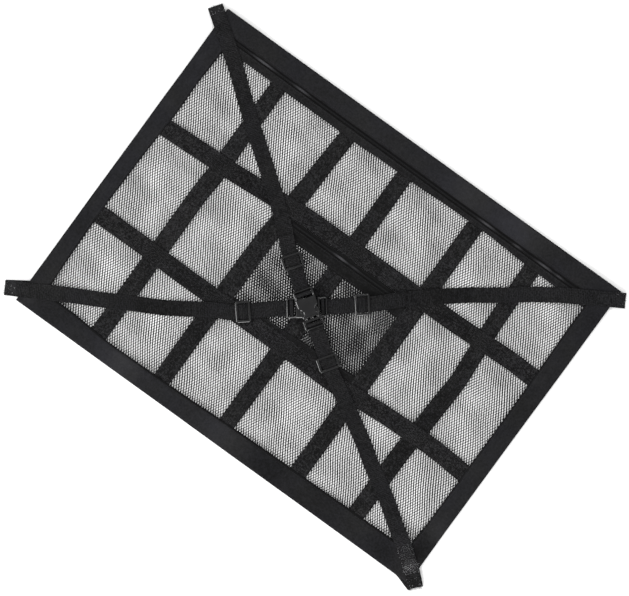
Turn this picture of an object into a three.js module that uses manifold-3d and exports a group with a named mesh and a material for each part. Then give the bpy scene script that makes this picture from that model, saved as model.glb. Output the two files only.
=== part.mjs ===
// Car ceiling storage net, lying flat: a mesh panel with a cloth binding, a grid of sewn webbing,
// two closed zips, and four corner straps that buckle in pairs over the middle.
// Millimetres. +X runs along the long side, +Y along the short side and +Z is up.
// The origin is the middle of the panel, on its flat underside.

import * as THREE from 'three';
import { mergeVertices } from 'three/addons/utils/BufferGeometryUtils.js';
import Module from 'manifold-3d';

const wasm = await Module();
wasm.setup();

// Driving dimensions

const GAP = 0.3;
const CLOTH = 1.0;
const LAYER_RISE = CLOTH + GAP;
const NET_FLOOR = LAYER_RISE;
const TAPE_FLOOR = 2 * LAYER_RISE;
const COVER_FLOOR = 3 * LAYER_RISE;

const NET_HALF_LENGTH = 392;
const NET_HALF_WIDTH = 290;
const NET_SAG = 1.15;
const CLEAR_NET = { left: -364, right: 362, low: -252, high: 239 };
const POCKET = { low: -100, high: 82 };
const POCKET_MARGIN = 17;

const TAPE_TUCK = 15;
const SEAM_GAP = 0.5;
const LONG_TAPE_WIDTH = 30.5;
const CROSSING_HALF = 18.5;
const CROSSING_RAMP = 11;

const STRAP_WIDTH = 26;
const STRAP_UNDER_LENGTH = 58;
const PLY_RISE = CLOTH + 0.4;

const BUCKLE_LENGTH = 67;
const BUCKLE_WIDTH = 34;
const BUCKLE_HEIGHT = 9;
const SLOT_HALF = STRAP_WIDTH / 2 + 0.6;
const BUCKLE_STRIP = { low: 2.5, high: 6.5 };

// Colours and finishes

const meshLook = { color: 0x1b1b1d, roughness: 0.85 };
const pocketLook = { color: 0x19191b, roughness: 0.85 };
const bindingLook = { color: 0x28282a, roughness: 0.8 };
const facingLook = { color: 0x242426, roughness: 0.8 };
const webbingLook = { color: 0x242526, roughness: 0.75 };
const strapLook = { color: 0x222324, roughness: 0.75 };
const zipLook = { color: 0x161617, roughness: 0.55 };
const plasticLook = { color: 0x141415, roughness: 0.35 };

// Edges of the panel, as the distances of the binding's outer and inner edges from the middle

const leftEdge = [
  { along: -298, outer: -400, inner: -368 },
  { along: -230, outer: -400, inner: -368 },
  { along: -200, outer: -400, inner: -370 },
  { along: -75, outer: -400, inner: -372 },
  { along: 20, outer: -399.5, inner: -370 },
  { along: 119, outer: -399.5, inner: -366 },
  { along: 165, outer: -399, inner: -367.5 },
  { along: 220, outer: -399, inner: -365 },
  { along: 296, outer: -399, inner: -365 },
];

const rightEdge = [
  { along: -297, outer: 398, inner: 363 },
  { along: -230, outer: 398, inner: 363.5 },
  { along: -197, outer: 398, inner: 366 },
  { along: 20, outer: 399, inner: 367 },
  { along: 138, outer: 400, inner: 366 },
  { along: 198, outer: 400, inner: 365 },
  { along: 299, outer: 400, inner: 364.5 },
];

const topEdge = [
  { along: -399, outer: 296, inner: 262 },
  { along: -89, outer: 297, inner: 262.5 },
  { along: 168, outer: 298, inner: 263 },
  { along: 353, outer: 299, inner: 263.5 },
  { along: 400, outer: 299, inner: 263.5 },
];

const bottomEdge = [
  { along: -400, outer: -298, inner: -260 },
  { along: -309, outer: -298, inner: -259.5 },
  { along: -229, outer: -298, inner: -265 },
  { along: -92, outer: -297.5, inner: -262.5 },
  { along: 29, outer: -297.5, inner: -258 },
  { along: 168, outer: -297, inner: -255.5 },
  { along: 323, outer: -297, inner: -253 },
  { along: 398, outer: -297, inner: -253 },
];

// Short tapes run across the panel: the centre line and width at each place along them

const shortTapes = [
  [
    { y: 249, x: -256, width: 28 },
    { y: 157, x: -256, width: 28 },
    { y: 58, x: -255.5, width: 31 },
    { y: 20, x: -258, width: 30 },
    { y: -74, x: -257.5, width: 30 },
    { y: -134, x: -257, width: 31 },
    { y: -275, x: -256.5, width: 30.5 },
  ],
  [
    { y: 249, x: -115, width: 28.5 },
    { y: 198, x: -118, width: 28.5 },
    { y: 138, x: -120, width: 30.5 },
    { y: 20, x: -126.5, width: 32 },
    { y: -52, x: -127, width: 32.5 },
    { y: -164, x: -129, width: 30.5 },
    { y: -275, x: -128.5, width: 30 },
  ],
  [
    { y: 249, x: -1.5, width: 28 },
    { y: 138, x: -0.5, width: 29 },
    { y: 20, x: 0.5, width: 31 },
    { y: -74, x: 1.5, width: 32 },
    { y: -134, x: 2, width: 29.5 },
    { y: -275, x: 1, width: 28.5 },
  ],
  [
    { y: 249, x: 141.5, width: 28 },
    { y: 138, x: 142, width: 29 },
    { y: 20, x: 141.5, width: 32 },
    { y: -52, x: 142.5, width: 31 },
    { y: -164, x: 144, width: 30 },
    { y: -275, x: 143.5, width: 30 },
  ],
  [
    { y: 249, x: 258.5, width: 28.5 },
    { y: 138, x: 261, width: 28 },
    { y: 58, x: 266.5, width: 29 },
    { y: 20, x: 269.5, width: 28.5 },
    { y: -13, x: 267.5, width: 30 },
    { y: -134, x: 262, width: 30.5 },
    { y: -275, x: 261.5, width: 29.5 },
  ],
];

// Long tapes run along the panel, over the short ones

const longTapes = [
  [
    { x: -381, y: 76.5 },
    { x: -320, y: 79 },
    { x: -229, y: 83 },
    { x: -92, y: 93.5 },
    { x: 29, y: 95 },
    { x: 111, y: 95 },
    { x: 202, y: 95.5 },
    { x: 287, y: 98.5 },
    { x: 323, y: 100 },
    { x: 381, y: 98 },
  ],
  [
    { x: -381, y: -103 },
    { x: -287, y: -102 },
    { x: -196, y: -103.5 },
    { x: -29, y: -101.5 },
    { x: 111, y: -102 },
    { x: 202, y: -94.5 },
    { x: 287, y: -92 },
    { x: 323, y: -93 },
    { x: 381, y: -97.5 },
  ],
];

// The strips of the two zips and of the pocket in the middle of the net

const TOP_COIL_Y = 258.5;
const TOP_ZIP_LOW = 249.5;
const TOP_ZIP_HIGH = 269;
const TOP_FACING_HIGH = 254.2;
const MIDDLE_COIL_Y = 72;
const MIDDLE_ZIP_LOW = 62;
const MIDDLE_FACING_HIGH = 68;
const COIL_WIDTH = 4;
const COIL_HEIGHT = 1.1;

const topFacingEdge = [
  { x: -370, y: 240 },
  { x: -89, y: 240 },
  { x: -56, y: 242 },
  { x: 29, y: 242.5 },
  { x: 67, y: 244.5 },
  { x: 168, y: 246 },
  { x: 236, y: 242.5 },
  { x: 370, y: 240 },
];

const pocketEdges = [
  { x: -112, facing: 49, hem: -83 },
  { x: -29, facing: 48, hem: -80 },
  { x: 29, facing: 47.5, hem: -76 },
  { x: 127, facing: 46.5, hem: -73 },
];

// Buckles: the socket half lies toward the given angle plus half a turn

const upperBuckle = { x: -0.5, y: -26.3, angle: -34.5, floor: 0 };
const lowerBuckle = { x: -4.4, y: -26.6, angle: 37.7, floor: 0 };

const socketLadder = { outerBar: 2.4, outerSlot: 4.0, innerBar: 4.0, innerSlot: 5.0 };
const prongLadder = { outerBar: 2.0, outerSlot: 3.6, innerBar: 3.2, innerSlot: 3.8 };
const BAR_LOW = 1.7;
const BAR_HIGH = 4.4;
const OUTER_BAR_LOW = 3.0;
const LADDER_HEIGHT = 6.5;

// Corner straps: points on the centre line from the tip to the tri-glide, the buckle they end in,
// the free tail's length past the tri-glide and the turn of the ply under the corner, in degrees

const straps = [
  {
    name: 'top_left',
    buckle: upperBuckle,
    ladder: socketLadder,
    glide: { x: -68, y: 21 },
    tail: 45,
    underTurn: 2,
    points: [
      { x: -419, y: 287.5 },
      { x: -372, y: 254 },
      { x: -325, y: 220.5 },
      { x: -287, y: 190 },
      { x: -255, y: 165.5 },
      { x: -196, y: 123 },
      { x: -160, y: 96.5 },
      { x: -111, y: 58.5 },
    ],
  },
  {
    name: 'top_right',
    buckle: lowerBuckle,
    ladder: prongLadder,
    glide: { x: 67, y: 31 },
    tail: 73,
    underTurn: -2,
    points: [
      { x: 415, y: 291 },
      { x: 366, y: 262 },
      { x: 323, y: 236 },
      { x: 287, y: 211.5 },
      { x: 236, y: 172.5 },
      { x: 202, y: 148.5 },
      { x: 160, y: 115 },
      { x: 110, y: 72 },
    ],
  },
  {
    name: 'bottom_left',
    buckle: lowerBuckle,
    ladder: socketLadder,
    glide: { x: -85.4, y: -93.8 },
    tail: 84,
    underTurn: 4,
    points: [
      { x: -427.5, y: -292.5 },
      { x: -372, y: -261 },
      { x: -320, y: -232.5 },
      { x: -287, y: -215.5 },
      { x: -229, y: -183.5 },
      { x: -196, y: -166 },
      { x: -160, y: -142.5 },
      { x: -122, y: -117 },
    ],
  },
  {
    name: 'bottom_right',
    buckle: upperBuckle,
    ladder: prongLadder,
    glide: { x: 78, y: -80 },
    tail: 76,
    underTurn: 24,
    points: [
      { x: 412.5, y: -296 },
      { x: 390, y: -275.5 },
      { x: 357, y: -251 },
      { x: 323, y: -230 },
      { x: 287, y: -204.5 },
      { x: 236, y: -175 },
      { x: 202, y: -152.5 },
      { x: 142, y: -117.5 },
    ],
  },
];

// Tri-glide sizes, along the strap and across it

const GLIDE_LENGTH = 25;
const GLIDE_WIDTH = 36;
const GLIDE_HEIGHT = 5.5;
const GLIDE_BAR = 3.5;
const GLIDE_CENTRE_BAR = 4;
const GLIDE_CENTRE_HIGH = 2.2;
const GLIDE_OUTER_LOW = 3.1;

// Small helpers

function ramp(value, from, to) {
  return Math.min(1, Math.max(0, (value - from) / (to - from)));
}

// Reads a column of a table at a place along it, straight between the rows
function readTable(rows, alongColumn, along, column) {
  const ordered = [...rows].sort((a, b) => a[alongColumn] - b[alongColumn]);
  const last = ordered.length - 1;
  if (along <= ordered[0][alongColumn]) return ordered[0][column];
  if (along >= ordered[last][alongColumn]) return ordered[last][column];
  const upper = ordered.findIndex((row) => row[alongColumn] >= along);
  const low = ordered[upper - 1];
  const high = ordered[upper];
  const part = (along - low[alongColumn]) / (high[alongColumn] - low[alongColumn]);
  return low[column] + part * (high[column] - low[column]);
}

function sortedPlaces(places) {
  const ordered = [...places].sort((a, b) => a - b);
  return ordered.filter((place, index) => index === 0 || place - ordered[index - 1] > 0.5);
}

function steps(from, to, spacing) {
  const count = Math.max(1, Math.round((to - from) / spacing));
  return Array.from({ length: count + 1 }, (_, index) => from + ((to - from) * index) / count);
}

// Makes an indexed geometry whose faces point out
function closedGeometry(positions, triangles) {
  let volume = 0;
  const point = (index) => new THREE.Vector3().fromArray(positions, 3 * index);
  for (const [a, b, c] of triangles) {
    volume += point(a).dot(point(b).cross(point(c)));
  }
  const order = volume < 0 ? triangles.map(([a, b, c]) => [a, c, b]) : triangles;
  const geometry = new THREE.BufferGeometry();
  geometry.setAttribute('position', new THREE.Float32BufferAttribute(positions, 3));
  geometry.setIndex(order.flat());
  geometry.computeVertexNormals();
  return geometry;
}

// A cloth sheet over a grid of places: underside gives the point below each place, and thickness
// is measured straight up from it
function sheetSolid(alongs, acrosses, underside, thickness = () => CLOTH) {
  const positions = [];
  for (const layer of [0, 1]) {
    for (const along of alongs) {
      for (const across of acrosses) {
        const point = underside(along, across);
        positions.push(point.x, point.y, point.z + layer * thickness(along, across));
      }
    }
  }
  const rows = alongs.length;
  const columns = acrosses.length;
  const corner = (layer, row, column) => (layer * rows + row) * columns + column;
  const triangles = [];
  const quad = (a, b, c, d) => triangles.push([a, b, c], [a, c, d]);
  for (let row = 0; row < rows - 1; row += 1) {
    for (let column = 0; column < columns - 1; column += 1) {
      quad(
        corner(1, row, column),
        corner(1, row + 1, column),
        corner(1, row + 1, column + 1),
        corner(1, row, column + 1),
      );
      quad(
        corner(0, row, column),
        corner(0, row, column + 1),
        corner(0, row + 1, column + 1),
        corner(0, row + 1, column),
      );
    }
  }
  const wall = (rowA, columnA, rowB, columnB) => quad(
    corner(0, rowA, columnA),
    corner(0, rowB, columnB),
    corner(1, rowB, columnB),
    corner(1, rowA, columnA),
  );
  for (let row = 0; row < rows - 1; row += 1) {
    wall(row, 0, row + 1, 0);
    wall(row + 1, columns - 1, row, columns - 1);
  }
  for (let column = 0; column < columns - 1; column += 1) {
    wall(rows - 1, column, rows - 1, column + 1);
    wall(0, column + 1, 0, column);
  }
  return closedGeometry(positions, triangles);
}

// A solid through a row of outlines with matching points; profile is one outline laid flat, and
// the two ends are filled after it
function loftSolid(outlines, profile) {
  const count = profile.length;
  const positions = outlines.flat().flatMap((point) => [point.x, point.y, point.z]);
  const triangles = [];
  for (let row = 0; row < outlines.length - 1; row += 1) {
    for (let side = 0; side < count; side += 1) {
      const next = (side + 1) % count;
      const here = row * count;
      const there = here + count;
      triangles.push([here + side, here + next, there + next]);
      triangles.push([here + side, there + next, there + side]);
    }
  }
  const turn = Math.sign(THREE.ShapeUtils.area(profile));
  const lastRow = (outlines.length - 1) * count;
  for (const face of THREE.ShapeUtils.triangulateShape(profile, [])) {
    const sameTurn = Math.sign(THREE.ShapeUtils.area(face.map((index) => profile[index]))) === turn;
    const [a, b, c] = sameTurn ? face : [face[0], face[2], face[1]];
    triangles.push([a, c, b]);
    triangles.push([lastRow + a, lastRow + b, lastRow + c]);
  }
  return closedGeometry(positions, triangles);
}

// Solids that are cut from or joined to each other

function toManifold(geometry) {
  const bare = geometry.clone();
  bare.deleteAttribute('normal');
  bare.deleteAttribute('uv');
  const merged = mergeVertices(bare, 1e-4);
  return new wasm.Manifold(new wasm.Mesh({
    numProp: 3,
    vertProperties: new Float32Array(merged.attributes.position.array),
    triVerts: new Uint32Array(merged.index.array),
  }));
}

function toGeometry(manifold) {
  const result = manifold.getMesh();
  const geometry = new THREE.BufferGeometry();
  geometry.setAttribute('position', new THREE.Float32BufferAttribute(result.vertProperties, 3));
  geometry.setIndex(new THREE.Uint32BufferAttribute(result.triVerts, 1));
  geometry.computeVertexNormals();
  return geometry;
}

function block(x, y, z) {
  const geometry = new THREE.BoxGeometry(x[1] - x[0], y[1] - y[0], z[1] - z[0]);
  geometry.translate((x[0] + x[1]) / 2, (y[0] + y[1]) / 2, (z[0] + z[1]) / 2);
  return toManifold(geometry);
}

// A plate of the given outline between two heights, with its edges rounded off
function plate(shape, low, high, rounding) {
  const geometry = new THREE.ExtrudeGeometry(shape, {
    depth: high - low - 2 * rounding,
    curveSegments: 5,
    bevelEnabled: rounding > 0,
    bevelThickness: rounding,
    bevelSize: rounding,
    bevelOffset: -rounding,
    bevelSegments: 1,
  });
  geometry.translate(0, 0, low + rounding);
  return toManifold(geometry);
}

function roundedRectangle(x, y, radius) {
  const shape = new THREE.Shape();
  shape.moveTo(x[0] + radius, y[0]);
  shape.lineTo(x[1] - radius, y[0]);
  shape.quadraticCurveTo(x[1], y[0], x[1], y[0] + radius);
  shape.lineTo(x[1], y[1] - radius);
  shape.quadraticCurveTo(x[1], y[1], x[1] - radius, y[1]);
  shape.lineTo(x[0] + radius, y[1]);
  shape.quadraticCurveTo(x[0], y[1], x[0], y[1] - radius);
  shape.lineTo(x[0], y[0] + radius);
  shape.quadraticCurveTo(x[0], y[0], x[0] + radius, y[0]);
  return shape;
}

// Heights of the layers

const LIFT_X = { from: 310, to: 340 };
const LIFT_Y = { from: 207, to: 237 };

// The corners of the panel lie on the ends of the straps, one cloth higher
function cornerLift(x, y) {
  const alongX = ramp(Math.abs(x), LIFT_X.from, LIFT_X.to);
  const alongY = ramp(Math.abs(y), LIFT_Y.from, LIFT_Y.to);
  return LAYER_RISE * Math.min(alongX, alongY);
}

const liftPlacesX = [-LIFT_X.to, -LIFT_X.from, LIFT_X.from, LIFT_X.to];
const liftPlacesY = [-LIFT_Y.to, -LIFT_Y.from, LIFT_Y.from, LIFT_Y.to];

function tapeCentre(tape, y) {
  return readTable(tape, 'y', y, 'x');
}

function tapeHalfWidth(tape, y) {
  return readTable(tape, 'y', y, 'width') / 2;
}

function longTapeCentre(tape, x) {
  return readTable(tape, 'x', x, 'y');
}

// How far a lengthwise strip rises where it passes over the given short tapes
function crossingRise(tapes, x, y) {
  const nearest = Math.min(...tapes.map((tape) => Math.abs(x - tapeCentre(tape, y))));
  return LAYER_RISE * (1 - ramp(nearest, CROSSING_HALF, CROSSING_HALF + CROSSING_RAMP));
}

function crossingPlaces(tapes, y) {
  return tapes.flatMap((tape) => {
    const centre = tapeCentre(tape, y);
    const reach = CROSSING_HALF + CROSSING_RAMP;
    return [centre - reach, centre - CROSSING_HALF, centre + CROSSING_HALF, centre + reach];
  });
}

// Net panel and pocket panel

// Where a place lies between its neighbours, from 0 at one edge of the opening to 1 at the next
function partAcross(place, bands) {
  for (let index = 0; index < bands.length - 1; index += 1) {
    const from = bands[index].high;
    const to = bands[index + 1].low;
    if (place > from && place < to) return (place - from) / (to - from);
  }
  return 0;
}

function bandsAcrossX(y) {
  return [
    { high: CLEAR_NET.left },
    ...shortTapes.map((tape) => {
      const centre = tapeCentre(tape, y);
      const half = tapeHalfWidth(tape, y) + 1;
      return { low: centre - half, high: centre + half };
    }),
    { low: CLEAR_NET.right },
  ];
}

function bandsAcrossY(x) {
  const half = LONG_TAPE_WIDTH / 2 + 1;
  const [upper, lower] = longTapes.map((tape) => longTapeCentre(tape, x));
  return [
    { high: CLEAR_NET.low },
    { low: lower - half, high: lower + half },
    { low: upper - half, high: upper + half },
    { low: CLEAR_NET.high },
  ];
}

// The net can't sink where the pocket panel lies under it
function overPocket(x, y) {
  const left = tapeCentre(shortTapes[1], y) - POCKET_MARGIN;
  const right = tapeCentre(shortTapes[3], y) + POCKET_MARGIN;
  const onPocketX = x > left && x < right;
  return onPocketX && y > POCKET.low - POCKET_MARGIN && y < POCKET.high + POCKET_MARGIN;
}

// The net sinks between the tapes, unevenly
function netSag(x, y) {
  if (overPocket(x, y)) return 0;
  const partX = partAcross(x, bandsAcrossX(y));
  const partY = partAcross(y, bandsAcrossY(x));
  const bowl = Math.sin(Math.PI * partX) * Math.sin(Math.PI * partY);
  const fold = 0.68 + 0.32 * Math.sin(0.07 * x + 0.05 * y);
  return NET_SAG * Math.sqrt(bowl) * fold;
}

// Places on both sides of each tape and at the given parts of each span between them
function gridPlaces(low, tapes, high, parts) {
  const besideTape = LONG_TAPE_WIDTH / 2 + 2;
  const bands = tapes.flatMap((centre) => [centre - besideTape, centre + besideTape]);
  const spans = [low, ...[...tapes].sort((a, b) => a - b), high];
  const between = spans.slice(1).flatMap((to, index) => {
    const from = spans[index];
    return parts.map((part) => from + part * (to - from));
  });
  return [low, high, ...bands, ...between];
}

function netPanel() {
  const tapesX = shortTapes.map((tape) => tapeCentre(tape, 0));
  const tapesY = longTapes.map((tape) => longTapeCentre(tape, 0));
  const alongs = sortedPlaces([
    -NET_HALF_LENGTH,
    NET_HALF_LENGTH,
    ...liftPlacesX,
    ...gridPlaces(CLEAR_NET.left, tapesX, CLEAR_NET.right, [0.3, 0.5, 0.7]),
  ]);
  const acrosses = sortedPlaces([
    -NET_HALF_WIDTH,
    NET_HALF_WIDTH,
    ...liftPlacesY,
    ...gridPlaces(CLEAR_NET.low, tapesY, CLEAR_NET.high, [0.2, 0.4, 0.6, 0.8]),
  ]);
  return sheetSolid(alongs, acrosses, (x, y) => {
    const floor = NET_FLOOR + cornerLift(x, y) - netSag(x, y);
    return new THREE.Vector3(x, y, floor);
  });
}

function pocketPanel() {
  const underTape = 2;
  return sheetSolid(steps(POCKET.low, POCKET.high, 26), [0, 0.5, 1], (y, across) => {
    const left = tapeCentre(shortTapes[1], y) - underTape;
    const right = tapeCentre(shortTapes[3], y) + underTape;
    return new THREE.Vector3(left + across * (right - left), y, 0);
  });
}

// Binding

function stripWidth(row) {
  return Math.abs(row.inner - row.outer);
}

// The folded strip's section: distance in from the fold, and height
function bindingProfile(width) {
  const top = COVER_FLOOR + CLOTH;
  const middle = top / 2;
  const lowerHalf = [
    { across: width, height: 0 },
    { across: 2.6, height: 0 },
    { across: 0.8, height: 0.6 },
    { across: 0, height: middle - 0.6 },
  ];
  const insideHalf = [
    { across: 1.7, height: CLOTH + 0.5 },
    { across: 3.0, height: CLOTH },
    { across: width, height: CLOTH },
  ];
  const mirror = ({ across, height }) => ({ across, height: top - height });
  return [
    ...lowerHalf,
    ...[...lowerHalf].reverse().map(mirror),
    ...[...insideHalf].reverse().map(mirror),
    { across: 1.1, height: middle },
    ...insideHalf,
  ].map(({ across, height }) => new THREE.Vector2(across, height));
}

// The strips meet at the corners in a slanted seam, from the outer corner to the inner one. inward
// is the sign of the way from the fold to the inner edge, endWidths are the neighbours' widths, and
// place puts a point from its along, across and height
function bindingStrip({ edge, inward, liftPlaces, endWidths, place }) {
  const start = edge[0].along;
  const end = edge[edge.length - 1].along;
  const inside = sortedPlaces([
    ...edge.slice(1, -1).map((row) => row.along),
    ...liftPlaces,
  ]);
  const outline = (along, shift) => {
    const outer = readTable(edge, 'along', along, 'outer');
    const inner = readTable(edge, 'along', along, 'inner');
    return bindingProfile(stripWidth({ outer, inner })).map((point) => {
      const acrossPlace = outer + inward * point.x;
      const flat = place(along + shift(point.x), acrossPlace, 0);
      flat.z = point.y + cornerLift(flat.x, flat.y);
      return flat;
    });
  };
  const startSlant = endWidths[0] / stripWidth(edge[0]);
  const endSlant = endWidths[1] / stripWidth(edge[edge.length - 1]);
  const outlines = [
    outline(start, (across) => across * startSlant + GAP),
    ...inside.map((along) => outline(along, () => 0)),
    outline(end, (across) => -across * endSlant - GAP),
  ];
  return loftSolid(outlines, bindingProfile(34));
}

const placeAlongY = (along, across, height) => new THREE.Vector3(across, along, height);
const placeAlongX = (along, across, height) => new THREE.Vector3(along, across, height);

function bindingStrips() {
  const firstWidth = (edge) => stripWidth(edge[0]);
  const lastWidth = (edge) => stripWidth(edge[edge.length - 1]);
  return {
    binding_left: bindingStrip({
      edge: leftEdge,
      inward: 1,
      liftPlaces: liftPlacesY,
      endWidths: [firstWidth(bottomEdge), firstWidth(topEdge)],
      place: placeAlongY,
    }),
    binding_right: bindingStrip({
      edge: rightEdge,
      inward: -1,
      liftPlaces: liftPlacesY,
      endWidths: [lastWidth(bottomEdge), lastWidth(topEdge)],
      place: placeAlongY,
    }),
    binding_top: bindingStrip({
      edge: topEdge,
      inward: -1,
      liftPlaces: liftPlacesX,
      endWidths: [lastWidth(leftEdge), lastWidth(rightEdge)],
      place: placeAlongX,
    }),
    binding_bottom: bindingStrip({
      edge: bottomEdge,
      inward: 1,
      liftPlaces: liftPlacesX,
      endWidths: [firstWidth(leftEdge), firstWidth(rightEdge)],
      place: placeAlongX,
    }),
  };
}

// Webbing tapes

function shortTape(tape) {
  const x = tapeCentre(tape, -275);
  const low = readTable(bottomEdge, 'along', x, 'inner') - TAPE_TUCK;
  const high = TOP_ZIP_LOW - SEAM_GAP;
  const places = sortedPlaces([low, high, ...tape.slice(1, -1).map((row) => row.y)]);
  return sheetSolid(places, [-1, 1], (y, side) => new THREE.Vector3(
    tapeCentre(tape, y) + side * tapeHalfWidth(tape, y),
    y,
    TAPE_FLOOR,
  ));
}

function longTape(tape) {
  const y = longTapeCentre(tape, 0);
  const low = readTable(leftEdge, 'along', y, 'inner') - TAPE_TUCK;
  const high = readTable(rightEdge, 'along', y, 'inner') + TAPE_TUCK;
  const crossings = shortTapes.flatMap((crossed) => {
    const crossingX = tapeCentre(crossed, y);
    return crossingPlaces([crossed], longTapeCentre(tape, crossingX));
  });
  const bends = tape.slice(1, -1).map((row) => row.x);
  const places = sortedPlaces([low, high, ...bends, ...crossings]);
  return sheetSolid(places, [-0.5, 0.5], (x, side) => {
    const centre = longTapeCentre(tape, x);
    const floor = TAPE_FLOOR + crossingRise(shortTapes, x, centre);
    return new THREE.Vector3(x, centre + side * LONG_TAPE_WIDTH, floor);
  });
}

// Zips and the strips beside them

// Cloth tape with the closed coil as a ridge along it
function zipSolid(places, lowEdge, highEdge, coilY, floorAt) {
  const half = COIL_WIDTH / 2;
  const acrossY = (x) => [
    lowEdge(x),
    coilY - half,
    coilY - 0.5 * half,
    coilY + 0.5 * half,
    coilY + half,
    highEdge(x),
  ];
  const ridge = [0, 0, COIL_HEIGHT, COIL_HEIGHT, 0, 0];
  return sheetSolid(
    places,
    [0, 1, 2, 3, 4, 5],
    (x, column) => new THREE.Vector3(x, acrossY(x)[column], floorAt(x)),
    (x, column) => CLOTH + ridge[column],
  );
}

const topZipSpan = { low: -364, high: 363 };
const pocketSpan = {
  low: (y) => tapeCentre(shortTapes[1], y) + tapeHalfWidth(shortTapes[1], y) + SEAM_GAP,
  high: (y) => tapeCentre(shortTapes[3], y) - tapeHalfWidth(shortTapes[3], y) - SEAM_GAP,
};
const pocketCrossing = [shortTapes[2]];

function topZip() {
  const places = sortedPlaces([topZipSpan.low, topZipSpan.high, ...liftPlacesX, -155, 0, 155]);
  const floorAt = (x) => TAPE_FLOOR + cornerLift(x, TOP_COIL_Y);
  return zipSolid(places, () => TOP_ZIP_LOW, () => TOP_ZIP_HIGH, TOP_COIL_Y, floorAt);
}

function topZipFacing() {
  const bends = topFacingEdge.slice(1, -1).map((row) => row.x);
  const places = sortedPlaces([topZipSpan.low, topZipSpan.high, ...liftPlacesX, ...bends]);
  return sheetSolid(places, [0, 1], (x, side) => {
    const edge = readTable(topFacingEdge, 'x', x, 'y');
    const y = edge + side * (TOP_FACING_HIGH - edge);
    return new THREE.Vector3(x, y, COVER_FLOOR + cornerLift(x, TOP_COIL_Y));
  });
}

function pocketPlaces(y) {
  const low = pocketSpan.low(y);
  const high = pocketSpan.high(y);
  const crossings = crossingPlaces(pocketCrossing, y);
  const bends = pocketEdges.slice(1, -1).map((row) => row.x);
  return sortedPlaces([low, high, ...bends, ...crossings]);
}

function middleZip() {
  const highEdge = (x) => longTapeCentre(longTapes[0], x) - LONG_TAPE_WIDTH / 2 - SEAM_GAP;
  const floorAt = (x) => TAPE_FLOOR + crossingRise(pocketCrossing, x, MIDDLE_COIL_Y);
  const places = pocketPlaces(MIDDLE_COIL_Y);
  return zipSolid(places, () => MIDDLE_ZIP_LOW, highEdge, MIDDLE_COIL_Y, floorAt);
}

// The upper part of this strip lies on the zip's tape, and the rest steps down to the net
function middleZipFacing() {
  const underTape = LAYER_RISE;
  const rows = [
    { y: MIDDLE_FACING_HIGH, rise: underTape },
    { y: MIDDLE_ZIP_LOW - 0.4, rise: underTape },
    { y: MIDDLE_ZIP_LOW - 3, rise: 0 },
  ];
  const places = pocketPlaces(MIDDLE_ZIP_LOW);
  return sheetSolid(places, [0, 1, 2, 3], (x, column) => {
    const edge = { y: readTable(pocketEdges, 'x', x, 'facing'), rise: 0 };
    const { y, rise } = [...rows, edge][column];
    const floor = TAPE_FLOOR + rise + crossingRise(pocketCrossing, x, MIDDLE_ZIP_LOW);
    return new THREE.Vector3(x, y, floor);
  });
}

function pocketHem() {
  const middleY = -83;
  return sheetSolid(pocketPlaces(middleY), [0, 1], (x, side) => {
    const high = readTable(pocketEdges, 'x', x, 'hem');
    const low = longTapeCentre(longTapes[1], x) + LONG_TAPE_WIDTH / 2 + SEAM_GAP;
    const floor = TAPE_FLOOR + crossingRise(pocketCrossing, x, middleY);
    return new THREE.Vector3(x, low + side * (high - low), floor);
  });
}

// Height of whatever the straps lie on

const LOWEST_TOP_PLY = 1.6;

function stackTop(x, y) {
  const heights = [LOWEST_TOP_PLY];
  const lift = cornerLift(x, y);
  const left = readTable(leftEdge, 'along', y, 'outer');
  const right = readTable(rightEdge, 'along', y, 'outer');
  const top = readTable(topEdge, 'along', x, 'outer');
  const bottom = readTable(bottomEdge, 'along', x, 'outer');
  const onPanel = x > left && x < right && y > bottom && y < top;
  if (!onPanel) return LOWEST_TOP_PLY;
  heights.push(NET_FLOOR + CLOTH + lift);
  const onBinding = x < readTable(leftEdge, 'along', y, 'inner')
    || x > readTable(rightEdge, 'along', y, 'inner')
    || y < readTable(bottomEdge, 'along', x, 'inner')
    || y > readTable(topFacingEdge, 'x', x, 'y');
  if (onBinding) heights.push(COVER_FLOOR + CLOTH + lift);
  for (const tape of shortTapes) {
    const onTape = Math.abs(x - tapeCentre(tape, y)) < tapeHalfWidth(tape, y);
    if (onTape) heights.push(TAPE_FLOOR + CLOTH);
  }
  for (const tape of longTapes) {
    const centre = longTapeCentre(tape, x);
    const onTape = Math.abs(y - centre) < LONG_TAPE_WIDTH / 2;
    if (onTape) heights.push(TAPE_FLOOR + CLOTH + crossingRise(shortTapes, x, centre));
  }
  const inPocket = x > pocketSpan.low(y) && x < pocketSpan.high(y);
  const onZip = y > readTable(pocketEdges, 'x', x, 'facing') && y < POCKET.high;
  const onHem = y < readTable(pocketEdges, 'x', x, 'hem') && y > POCKET.low;
  const pocketRise = crossingRise(pocketCrossing, x, y);
  if (inPocket && onZip) heights.push(COVER_FLOOR + CLOTH + pocketRise);
  if (inPocket && onHem) heights.push(TAPE_FLOOR + CLOTH + pocketRise);
  return Math.max(...heights);
}

// Corner straps

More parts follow.
